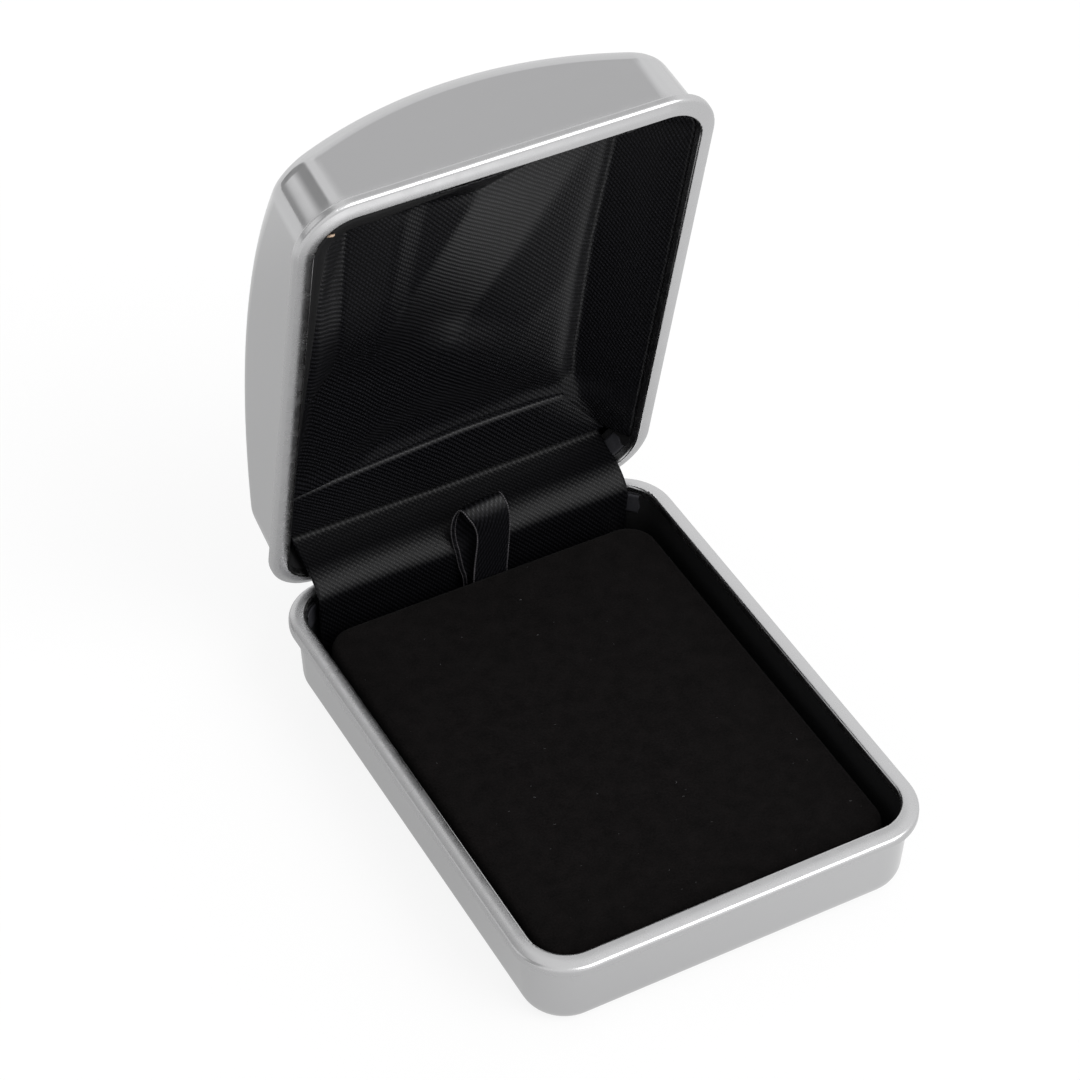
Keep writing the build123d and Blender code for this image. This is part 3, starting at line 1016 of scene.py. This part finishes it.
@dataclass
class MouthBinding(Piece):
    """A folded binding that shows at one corner of the lid's mouth, over the hem, and a loose thread end.

    It is widest at the corner and runs out under the lip along both sides.
    """
    lining: LidLining
    half_x: float = 31.38
    front_y: float = -42.38
    corner: float = 6.15
    side_start: float = 14.0  # y where it comes out on the side
    front_end: float = 2.0  # x where it runs out along the front
    widths: Line = (  # (share of the run, how far it reaches in)
        (0.0, 0.15), (0.18, 0.7), (0.34, 1.25), (0.48, 1.7), (0.58, 2.3), (0.64, 2.8), (0.74, 2.7),
        (0.84, 2.0), (0.93, 1.2), (1.0, 0.5))
    top_h: float = 0.5
    face: Line = (  # (share of its reach, fall below its top) over its face
        (0.0, 0.0), (0.5, 0.08), (0.86, 0.16), (0.97, 0.24), (1.0, 0.42))
    foot: tuple[float, ...] = (0.98, 0.0)  # shares of its reach at its foot on the hem
    stations: int = 90
    thread_line: Line = (
        (-29.5, -40.0, 0.5), (-29.1, -40.3, 0.2), (-28.6, -40.25, 0.25), (-28.3, -39.8, 0.7))
    thread_radius: float = 0.2
    hem_clear: float = 0.1  # from the lining to the binding's foot
    least: float = 0.5  # thickness

    def run(self) -> tuple[Array, Array]:
        """The mouth's outline along the binding, and the directions into the mouth.

        Returns:
            Both, as x and y at every station.
        """
        cx, cy, r = -self.half_x + self.corner, self.front_y + self.corner, self.corner
        side = [(-self.half_x, y) for y in np.linspace(self.side_start, cy, 40, endpoint=False)]
        turn = [(cx - r * math.cos(a), cy - r * math.sin(a))
                for a in np.linspace(0, math.pi / 2, 30, endpoint=False)]
        front = [(x, self.front_y) for x in np.linspace(cx, self.front_end, 30)]
        line = np.array([*side, *turn, *front])
        along = run_lengths(line)
        line = resample(line, along, np.linspace(0, along[-1], self.stations))
        way = np.gradient(line, axis=0)
        way /= np.linalg.norm(way, axis=1)[:, None]
        return line, np.column_stack([-way[:, 1], way[:, 0]])

    def build(self) -> None:
        """Makes the binding as a closed wedge down to the hem, then the thread, and hands them to the lid."""
        n = self.stations
        line, inward = self.run()
        reach = along_line(self.widths, np.linspace(0, 1, n))
        rows = []
        for into, fall in self.face:
            spot = line + inward * (reach * into)[:, None]
            rows.append(np.column_stack([spot, np.full(n, self.top_h) + fall]))
        for into in self.foot:
            spot = line + inward * (reach * into)[:, None]
            deep = self.lining.height(spot[:, 0], spot[:, 1]) + self.hem_clear
            rows.append(np.column_stack([spot, np.maximum(deep, self.top_h + self.least)]))
        ring = [r * n for r in range(len(rows))]
        faces = [(b + i, b + i + 1, a + i + 1, a + i) for a, b in zip(ring, ring[1:] + ring[:1])
                 for i in range(n - 1)]
        faces += [tuple(ring), tuple(r + n - 1 for r in reversed(ring))]
        made = mesh_object("lid_mouth_binding", self.place.lid_points(np.vstack(rows)), faces)
        self.hand_over(made, Slot.SATIN, Body.LID, self.finishes.binding)
        thread = tube("loose_thread_end", self.place.lid_points(spline(self.thread_line, 12)),
                      self.thread_radius, 8)
        self.hand_over(thread, Slot.SATIN, Body.LID, self.finishes.thread)


@dataclass
class CornerTapes(Piece):
    """Grey tapes over the ends of the wall linings, in three of the corners beside the hinge."""
    centre: Pair = (25.1, 36.1)  # of the lining's rounded corner
    radius: float = 6.0
    turn: Pair = (33.0, 63.0)  # degrees round the corner
    sway: float = 1.5  # degrees
    lid_h: Pair = (1.5, 4.9)
    base_h: Pair = (1.45, 5.3)
    thickness: float = 0.22
    uneven: float = 0.05
    seeds: tuple[int, int] = (19, 23)  # in the lid and in the base

    def patch(self, body: Body, word: str) -> None:
        """Makes one tape.

        Args:
            body: the lid or the base.
            word: the side that it is on, left or right.
        """
        lid, side = body is Body.LID, 1 if word == "right" else -1
        rng = np.random.default_rng(self.seeds[0 if lid else 1])
        rows, cols = 9, 14
        points = []
        for i, deep in enumerate(np.linspace(*(self.lid_h if lid else self.base_h), rows)):
            for a in np.radians(np.linspace(*self.turn, cols) + self.sway * math.sin(i)):
                r = self.radius - rng.uniform(0, self.uneven)
                points.append((side * (self.centre[0] + r * math.cos(a)),
                               self.centre[1] + r * math.sin(a), deep))
        rim = np.array(points)
        placed = self.place.lid_points(rim) if lid else rim * (1, 1, -1) + (0, 0, self.place.rim_z)
        made = mesh_object(f"{body.value}_corner_tape_{word}", placed,
                           grid_faces(rows, cols, flip=(side > 0) == lid))
        self.hand_over(thicken(made, self.thickness), Slot.SATIN, body, self.finishes.tape)

    def build(self) -> None:
        """Makes all three."""
        for body, word in ((Body.LID, "right"), (Body.BASE, "right"), (Body.BASE, "left")):
            self.patch(body, word)


@dataclass
class HingeFlap(Piece):
    """The satin strip that hides the hinge, from under the lid's band to behind the pad."""
    half_x: float = 28.0
    cloth: float = 0.3
    sway: float = 0.12
    sway_up: float = 0.6  # height gained for each millimetre of sway
    seed: int = 11
    line: Line = (  # (y, height above the rim plane), from the band to the foot
        (49.6, 6.9), (49.1, 5.9), (47.2, 5.1), (45.4, 4.6), (43.6, 4.2), (42.6, 3.8), (41.8, 3.35),
        (41.0, 2.75), (40.3, 2.1), (39.8, 1.5), (39.5, 0.95), (39.38, 0.4), (39.36, -0.8), (39.6, -3.2),
        (39.8, -6.2), (39.6, -9.5), (39.3, -13.0))
    bend: Line = ((38.5, -2.0), (49.0, 7.2))  # (y, height) where it starts and ends

    def build(self) -> None:
        """Makes the flap, which runs from the lid to the base."""
        rim, cols = self.place.rim_z, 113
        path = spline([(y, rim + up) for y, up in self.line], 130)
        along = run_lengths(path)
        x = np.linspace(-self.half_x, self.half_x, cols)
        free = np.sin(np.pi * along / along[-1])[:, None] ** 2 * wander(self.seed, 9, self.sway, cols)
        y, z = path[:, :1] + free, path[:, 1:] + self.sway_up * free
        across = np.broadcast_to(x, free.shape)
        made = cloth_sheet("hinge_satin_cover", columns(across, y, z), cols,
                           columns(across, np.repeat(along, cols)), self.cloth)
        self.hand_over(made, Slot.SATIN, None, self.finishes.flap, "hinge_satin_flap")
        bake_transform(made)
        self.lay_flat(made, 2 * self.half_x, float(along[-1]), held="draped",
                      rests_on=["lid_band_card", "base_floor_card"])


# ---------------------------------------- pad
@dataclass
class VelvetPad(Piece):
    """The velvet-covered pad: a board and foam wrapped in pile, with soft edges."""
    half_x: float = 29.15
    y_front: float = -40.15
    y_rear: float = 37.0
    corner: float = 5.0
    edge_r: float = 1.1
    foot_z: float = 1.65
    cell: float = 0.7
    crown: float = 0.12
    dents: int = 40
    dent: float = 0.035  # their usual depth
    dent_seed: int = 3
    crown_centre: float = -1.5  # y of the crown's middle, and half its length
    crown_half: float = 39.0
    fill: float = 0.9

    def face(self, x: Array, y: Array) -> Array:
        """How far the pad's face stands above its level: a slight crown and random dents.

        Args:
            x: points across the pad.
            y: points along it, of the same shape.
        Returns:
            The height at each point.
        """
        rng = np.random.default_rng(self.dent_seed)
        dents = np.zeros_like(x)
        for _ in range(self.dents):
            cx, cy = rng.uniform(-28, 28), rng.uniform(-39, 36)
            dents += rng.normal(0, self.dent) * np.exp(-((x - cx) ** 2 + (y - cy) ** 2) / rng.uniform(9, 60))
        half_x = self.half_x - self.edge_r
        along = (y - self.crown_centre) / self.crown_half
        crown = np.clip(1 - (x / half_x) ** 2, 0, 1) * np.clip(1 - along**2, 0, 1)
        return self.crown * crown + dents

    def build(self) -> Object:
        """Makes the pad's cover and hands it to the pad.

        Returns:
            The cover.
        """
        r, top = self.edge_r, self.place.rim_z - PAD_DROP
        plan = Plan(self.half_x - r, self.y_front + r, self.y_rear - r, self.corner - r, self.corner - r,
                    self.cell)
        grid = plan.grid()
        rows, cols = grid.shape[:2]
        x, y = grid[..., 0], grid[..., 1]
        points = [columns(x, y, top + self.face(x, y))]
        faces = grid_faces(rows, cols)
        at = np.arange(rows * cols).reshape(rows, cols)
        last = [*at[0], *at[1:, -1], *at[-1, -2::-1], *at[-2:0:-1, 0]]
        rim, count = points[0][last], len(last)
        outward = self.outward(rim, plan)
        profile = [(r * math.sin(a), -r * (1 - math.cos(a))) for a in np.linspace(0, math.pi / 2, 8)[1:]]
        profile += [(r, down) for down in np.linspace(-r - 0.8, self.foot_z - top + 0.5, 8)]
        profile += [(r - 0.35, self.foot_z - top), (r - 1.6, self.foot_z - top)]
        for n, (out, down) in enumerate(profile):
            ring = rim.copy()
            ring[:, :2] += outward * out
            ring[:, 2] = rim[:, 2] + down if down > -2 else top + down
            points.append(ring)
            first = at.size + n * count
            ids = list(range(first, first + count))
            faces += zip(last, ids, ids[1:] + ids[:1], last[1:] + last[:1])
            last = ids
        faces.append(tuple(reversed(last)))
        made = mesh_object("velvet_pad", np.vstack(points), faces)
        self.hand_over(made, Slot.VELVET, Body.PAD, self.finishes.velvet, "pad_velvet")
        return made

    @staticmethod
    def outward(rim: Array, plan: Plan) -> Array:
        """Outward directions in plan of points on the grid's edge.

        Args:
            rim: the points.
            plan: the grid's outline.
        Returns:
            A unit direction for each point.
        """
        middle, half_y = (plan.y_front + plan.y_rear) / 2, (plan.y_rear - plan.y_front) / 2
        spot = rim[:, :2] - (0, middle)
        core = np.array((plan.half_x, half_y)) - plan.front_radius
        q = np.maximum(np.abs(spot) - core, 0) * np.sign(spot)
        return q / np.linalg.norm(q, axis=1)[:, None]


class Scatter(Graph):
    """A geometry tree that sets one small mesh at many spots, with its sizes as inputs."""

    def __init__(self, name: str, sizes: dict[str, float]) -> None:
        """Starts the tree and gives it its inputs.

        Args:
            name: the tree's name.
            sizes: each input's name and value, in metres.
        """
        super().__init__(bpy.data.node_groups.new(name, "GeometryNodeTree"))
        sockets = self.tree.interface
        sockets.new_socket("Geometry", in_out="INPUT", socket_type="NodeSocketGeometry")
        for size, value in sizes.items():
            sockets.new_socket(size, in_out="INPUT", socket_type="NodeSocketFloat").default_value = value
        sockets.new_socket("Geometry", in_out="OUTPUT", socket_type="NodeSocketGeometry")
        self.given = self.add("NodeGroupInput", out=None)

    def place(self, name: str, carrier: Object, finish: Material,
              **placing: Any) -> Object:
        """Sets the small mesh at the spots, and makes it real.

        Args:
            name: the finished piece's name.
            carrier: the object that the tree works on; it is used up.
            finish: the small meshes' material.
            **placing: inputs of the node that places them.
        Returns:
            The finished piece.
        """
        placed = self.add("GeometryNodeInstanceOnPoints", placing)
        real = self.add("GeometryNodeRealizeInstances", {0: placed})
        dressed = self.add("GeometryNodeSetMaterial", {"Geometry": real, "Material": finish})
        self.add("NodeGroupOutput", {0: dressed}, None)
        link(carrier).modifiers.new("scatter", "NODES").node_group = self.tree
        data = applied(carrier)
        bpy.data.objects.remove(carrier)
        return link(bpy.data.objects.new(name, data))


@dataclass
class Lint(Piece):
    """Specks of lint on the velvet, scattered by a geometry tree with a fixed seed."""
    density: float = 0.013  # specks per square millimetre
    length: float = 0.3
    radius: float = 0.03
    bend: float = 1.4  # radians
    sizes: Pair = (0.35, 1.15)
    spin: Triple = (0.5, 0.5, 6.283)  # most that one is turned about each axis
    upward: float = 0.95  # least upward part of a face's normal
    seed: int = 5

    def build(self, pad: Object) -> None:
        """Scatters short bent fibres over the pad's face and hands them to the pad.

        Args:
            pad: the velvet cover.
        """
        tree = Scatter("lint_specks", {"Density": self.density / MM**2, "Length": self.length * MM,
                                       "Radius": self.radius * MM})
        up = tree.add("ShaderNodeSeparateXYZ", {0: tree.add("GeometryNodeInputNormal")}, 2)
        flat = tree.add("FunctionNodeCompare", {0: up, 1: self.upward}, operation="GREATER_THAN")
        spots = tree.add("GeometryNodeDistributePointsOnFaces",
                         {"Mesh": tree.given["Geometry"], "Selection": flat,
                          "Density": tree.given["Density"], "Seed": self.seed})
        arc = tree.add("GeometryNodeCurveArc", {"Resolution": 5, "Radius": tree.given["Length"],
                                                "Sweep Angle": self.bend})
        ring = tree.add("GeometryNodeCurvePrimitiveCircle", {"Resolution": 4, "Radius": tree.given["Radius"]})
        fibre = tree.add("GeometryNodeCurveToMesh", {"Curve": arc, "Profile Curve": ring, "Fill Caps": True})
        spin = tree.add("FunctionNodeRandomValue", {0: (0, 0, 0), 1: self.spin, "Seed": self.seed + 1},
                        data_type="FLOAT_VECTOR")
        size = tree.add("FunctionNodeRandomValue",
                        {2: self.sizes[0], 3: self.sizes[1], "Seed": self.seed + 2}, 1)
        made = tree.place("pad_lint", bpy.data.objects.new("pad_face", pad.data.copy()), self.finishes.lint,
                          Points=spots, Instance=fibre, Rotation=spin, Scale=size)
        self.hand_over(made, Slot.VELVET, Body.PAD)


# ---------------------------------------- ribbon
@dataclass
class RibbonPull(Piece):
    """The ribbon folded over at its top: front strand, slanting fold, back strand set off to the left."""
    cloth: float = 0.22
    cup: float = 0.25  # how far the middle stands off the line between its edges
    least_flat: float = 10.0  # the least width reported for a sheet; the shortest side that a sheet may have
    pick: float = 0.45  # between the beads of a selvedge
    bead: float = 0.19
    bead_shape: Triple = (0.75, 0.75, 1.3)
    inset: float = 0.55  # of the inner pair of selvedge lines
    proud: float = 0.16
    keep: float = 0.42  # height left when the lid is shut
    left: Line = (  # (x, y, z) of the left selvedge, from the front foot round
        (-1.7, 37.4, 3.2), (-1.7, 37.4, 8.0), (-1.65, 37.42, 11.0), (-1.4, 37.45, 14.4), (-0.85, 37.6, 19.4),
        (-1.3, 37.8, 22.2), (-2.0, 38.25, 23.6), (-2.6, 39.3, 24.5), (-3.1, 39.9, 24.0), (-3.75, 40.1, 22.6),
        (-4.15, 40.0, 20.6), (-4.1, 39.7, 18.4), (-3.8, 39.1, 16.0), (-3.4, 38.75, 13.0), (-2.8, 38.5, 10.0),
        (-2.7, 38.4, 3.2))
    right: Line = (
        (4.3, 37.4, 3.2), (4.3, 37.4, 8.0), (4.35, 37.42, 11.0), (4.6, 37.45, 14.7), (4.95, 37.55, 20.4),
        (4.85, 37.75, 23.0), (4.7, 38.15, 24.4), (4.35, 39.3, 25.5), (4.0, 39.95, 25.0), (3.6, 40.2, 23.6),
        (3.3, 40.1, 21.4), (3.1, 39.8, 19.0), (3.1, 39.1, 16.3), (3.2, 38.75, 13.0), (3.3, 38.5, 10.0),
        (3.3, 38.4, 3.2))

    def edges(self) -> tuple[Array, Array]:
        """The left and right selvedges as lines with as many points as each other.

        Returns:
            Both lines.
        """
        count, fine = 110, 400
        pair = np.array([spline(side, fine) for side in (self.left, self.right)])
        middle = run_lengths(pair.mean(axis=0))
        at = np.linspace(0, middle[-1], count)
        return tuple(resample(side, middle, at) for side in pair)

    def build(self) -> None:
        """Makes the ribbon and its selvedges."""
        left, right = self.edges()
        middle, half = (left + right) / 2, (right - left) / 2
        along = run_lengths(middle)
        off = np.cross(np.gradient(middle, axis=0), right - left)
        off /= np.linalg.norm(off, axis=1)[:, None]
        cols = 17
        across = np.linspace(-1, 1, cols)
        wide = float(np.linalg.norm(right - left, axis=1).mean())
        points = [m + h * t - o * self.cup * (1 - t * t)
                  for m, h, o in zip(middle, half, off) for t in across]
        weave = [(t * wide / 2, v) for v in along for t in across]
        made = cloth_sheet("ribbon_pull_loop", points, cols, weave, self.cloth)
        self.hand_over(made, Slot.SATIN, Body.PAD, self.finishes.ribbon, "ribbon_pull")
        self.flatten(made)
        inset, proud = (right - left) * (self.inset / wide), off * -self.proud
        cords = self.selvedges([side + proud for side in (left, left + inset, right - inset, right)])
        length = float(along[-1])
        self.lay_flat(made, max(self.least_flat, wide), length, area=wide * MM * (length * MM), held="folded",
                      rests_on=["pad_foam"], with_pieces=[cords])

    def flatten(self, piece: Object) -> None:
        """Gives the piece its own copy of its mesh."""
        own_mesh(piece)

    def selvedges(self, lines: Sequence[Array]) -> Object:
        """Makes the corded edges: a geometry tree sets a small yarn bead at every pick.

        Args:
            lines: the edges, millimetres.
        Returns:
            All the edges as one piece.
        """
        curve = bpy.data.curves.new("ribbon_selvedge", "CURVE")
        curve.dimensions = "3D"
        for line in lines:
            run = curve.splines.new("POLY")
            run.points.add(len(line) - 1)
            for spot, (x, y, z) in zip(run.points, line):
                spot.co = (x * MM, y * MM, z * MM, 1)
        tree = Scatter("selvedge_picks", {"Pitch": self.pick * MM, "Radius": self.bead * MM})
        spots = tree.add("GeometryNodeResampleCurve", {"Curve": tree.given["Geometry"],
                                                       "Length": tree.given["Pitch"]}, mode="LENGTH")
        turn = tree.add("FunctionNodeAlignRotationToVector",
                        {"Vector": tree.add("GeometryNodeInputTangent")}, axis="Z")
        bead = tree.add("GeometryNodeMeshUVSphere",
                        {"Segments": 8, "Rings": 5, "Radius": tree.given["Radius"]})
        made = tree.place("ribbon_selvedges", bpy.data.objects.new("ribbon_selvedge_line", curve),
                          self.finishes.selvedge, Points=spots, Instance=bead, Rotation=turn,
                          Scale=self.bead_shape)
        self.hand_over(made, Slot.SATIN, Body.PAD)
        self.flatten(made)
        return made


# ---------------------------------------- CAD nodes
def dress_nodes(finishes: Finishes) -> None:
    """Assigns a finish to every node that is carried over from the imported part.

    Args:
        finishes: the box's materials.
    """
    table = {
        finishes.base_plate: ("base_shell",),
        finishes.lid_plate: ("lid_shell",),
        finishes.card: ("base_wall_lining", "lid_wall_lining", "base_floor_card", "lid_band_card",
                        "pad_board"),
        finishes.zinc: ("base_hinge_leaf", "lid_hinge_leaf", "hinge_pin"),
        finishes.spring: ("snap_spring_left", "snap_spring_right"),
        finishes.satin: ("lid_satin", "hinge_satin_flap", "ribbon_pull"),
        finishes.velvet: ("pad_velvet",),
        finishes.foam: ("pad_foam",),
        finishes.wadding: ("lid_wadding",),
    }
    for material, names in table.items():
        for name in names:
            slots = frame["nodes"][name].data.materials
            slots.clear()
            slots.append(material)
            log.info("%s: %s", name, material.name)


# ---------------------------------------- studio
@dataclass(frozen=True)
class Patch:
    """A round area of the tent's light, or of the floor's painted light and shade, that is brighter or
    darker.
    """
    centre: tuple[float, ...]  # a direction, or millimetres on the floor
    core: float  # full strength within it: degrees, or millimetres
    reach: float  # where it has faded out
    gain: float


@dataclass(frozen=True)
class Studio:
    """A pale floor, a soft white tent and the camera."""
    focal_mm: float = 115.321
    sensor_mm: float = 36.0
    azimuth: float = -28.844
    elevation: float = 43.038
    roll: float = 0.593
    distance: float = 537.954
    target: Triple = (2.436, 22.692, 29.886)
    tent_level: float = 0.98
    lobes: tuple[Patch, ...] = (
        Patch((0.36, -0.62, 0.70), 13.0, 24.0, 4.2),  # front softbox
        Patch((0.35, 0.43, 0.83), 6.0, 19.0, -0.3),  # gap in the ceiling
        Patch((-0.80, 0.41, 0.44), 40.0, 45.0, -0.58),  # open side of the tent
        Patch((-0.80, 0.38, 0.47), 1.0, 26.0, 0.62),  # lamp seen in it
    )
    floor_level: float = 0.86
    floor_span: float = 3000.0  # half of its side
    floor_z: float = -0.02
    floor_glow: float = 0.85  # share of its own light for the camera and for reflections
    folds: float = 0.22  # unevenness of the tent's cloth
    # painted light and shade on the floor's glow, which only reflections see
    painted_pools: tuple[Patch, ...] = (
        # painted pool of light on the floor
        Patch((30.0, -190.0), 50.0, 120.0, 0.75),  # under the front softbox
        # painted shadow on the floor to the left of the box
        Patch((-65.0, 60.0), 70.0, 150.0, -0.3),
    )

    def camera(self) -> None:
        """Places the camera and makes it the scene's own."""
        az, el, ro = (math.radians(a) for a in (self.azimuth, self.elevation, self.roll))
        back = Vector((math.sin(az) * math.cos(el), -math.cos(az) * math.cos(el), math.sin(el)))
        right = (-back).cross(Vector((0, 0, 1))).normalized()
        up = right.cross(-back)
        turned = right * math.cos(ro) + up * math.sin(ro)
        above = up * math.cos(ro) - right * math.sin(ro)
        data = bpy.data.cameras.new("camera")
        data.lens, data.sensor_width, data.sensor_fit = self.focal_mm, self.sensor_mm, "AUTO"
        data.clip_start, data.clip_end = 0.02, 20.0
        made = link(bpy.data.objects.new("camera", data))
        made.location = (Vector(self.target) + back * self.distance) * MM
        made.rotation_mode = "QUATERNION"
        made.rotation_quaternion = Matrix((turned, above, back)).transposed().to_quaternion()
        bpy.context.scene.camera = made

    @staticmethod
    def cleared(owner: Union[Material, bpy.types.World]) -> Graph:
        """The emptied nodes of a new material or world.

        Args:
            owner: the material or world.
        Returns:
            Its nodes.
        """
        owner.use_nodes = True
        owner.node_tree.nodes.clear()
        return Graph(owner.node_tree)

    def floor(self) -> None:
        """A pale floor that keeps a soft shadow; its glow in reflections carries painted pools of light and
        shade.
        """
        corners = [(x * self.floor_span, y * self.floor_span, self.floor_z)
                   for x, y in ((-1, -1), (1, -1), (1, 1), (-1, 1))]
        made = mesh_object("floor", np.array(corners), [(0, 1, 2, 3)])
        material = bpy.data.materials.new("white_paper_sweep")
        made.data.materials.append(material)
        graph = self.cleared(material)
        where = graph.add("ShaderNodeTexCoord", out="Object")
        path = graph.add("ShaderNodeLightPath", out=None)
        level: Any = self.floor_level
        # painted light and shade: each pool brightens or darkens the floor's glow around its spot
        for painted_pool in self.painted_pools:
            centre = (painted_pool.centre[0] * MM, painted_pool.centre[1] * MM, 0)
            apart = graph.add("ShaderNodeVectorMath", {0: where, 1: centre}, "Value", operation="DISTANCE")
            mask = graph.ramp(apart, painted_pool.reach * MM, painted_pool.core * MM, smooth=True)
            level = graph.maths("MULTIPLY_ADD", mask, painted_pool.gain, level)
        bright = graph.add("ShaderNodeMix", {"Factor": path["Is Camera Ray"], "A": level, "B": 1.0})
        glow = graph.add("ShaderNodeEmission", {"Color": (1, 1, 1, 1), "Strength": bright})
        paper = graph.add("ShaderNodeBsdfDiffuse", {"Color": linear("#F4F4F4")})
        seen = graph.maths("MAXIMUM", path["Is Camera Ray"], path["Is Glossy Ray"])
        share = graph.maths("MULTIPLY", seen, self.floor_glow)
        mixed = graph.add("ShaderNodeMixShader", {0: share, 1: paper, 2: glow})
        graph.add("ShaderNodeOutputMaterial", {0: mixed}, None)

    def tent(self) -> None:
        """A soft white tent as the world, white behind the box for the camera."""
        bpy.context.scene.world = bpy.data.worlds.new("tent")
        graph = self.cleared(bpy.context.scene.world)
        toward = graph.add("ShaderNodeTexCoord", out="Generated")
        folds = graph.add("ShaderNodeTexNoise", {"Vector": toward, "Scale": 5.0, "Detail": 2.0}, "Fac")
        level: Any = graph.maths("MULTIPLY_ADD", folds, self.folds, self.tent_level - self.folds / 2)
        for lobe in self.lobes:
            aim = {0: toward, 1: Vector(lobe.centre).normalized()}
            dot = graph.add("ShaderNodeVectorMath", aim, "Value", operation="DOT_PRODUCT")
            ends = (math.cos(math.radians(angle)) for angle in (lobe.reach, lobe.core))
            level = graph.maths("MULTIPLY_ADD", graph.ramp(dot, *ends, smooth=True), lobe.gain, level)
        light, white = (graph.add("ShaderNodeBackground", {"Color": (1, 1, 1, 1), "Strength": strength})
                        for strength in (level, 1.0))
        path = graph.add("ShaderNodeLightPath", out="Is Camera Ray")
        mixed = graph.add("ShaderNodeMixShader", {0: path, 1: light, 2: white})
        graph.add("ShaderNodeOutputWorld", {0: mixed}, None)

    def build(self) -> None:
        """Sets up the whole studio."""
        self.camera()
        self.floor()
        self.tent()
        bpy.context.scene.view_settings.view_transform = "Standard"


def main() -> None:
    """Builds the dressed box and its studio."""
    logging.basicConfig(level=logging.INFO, format="%(name)s: %(message)s")
    place = BoxFrame.read()
    finishes = Finishes.make(place)
    dress_nodes(finishes)
    lining = LidLining(place, finishes)
    lining.build()
    SatinBand(place, finishes).build()
    MouthBinding(place, finishes, lining).build()
    CornerTapes(place, finishes).build()
    HingeFlap(place, finishes).build()
    Lint(place, finishes).build(VelvetPad(place, finishes).build())
    RibbonPull(place, finishes).build()
    Studio().build()


if __name__ == "__main__":
    main()
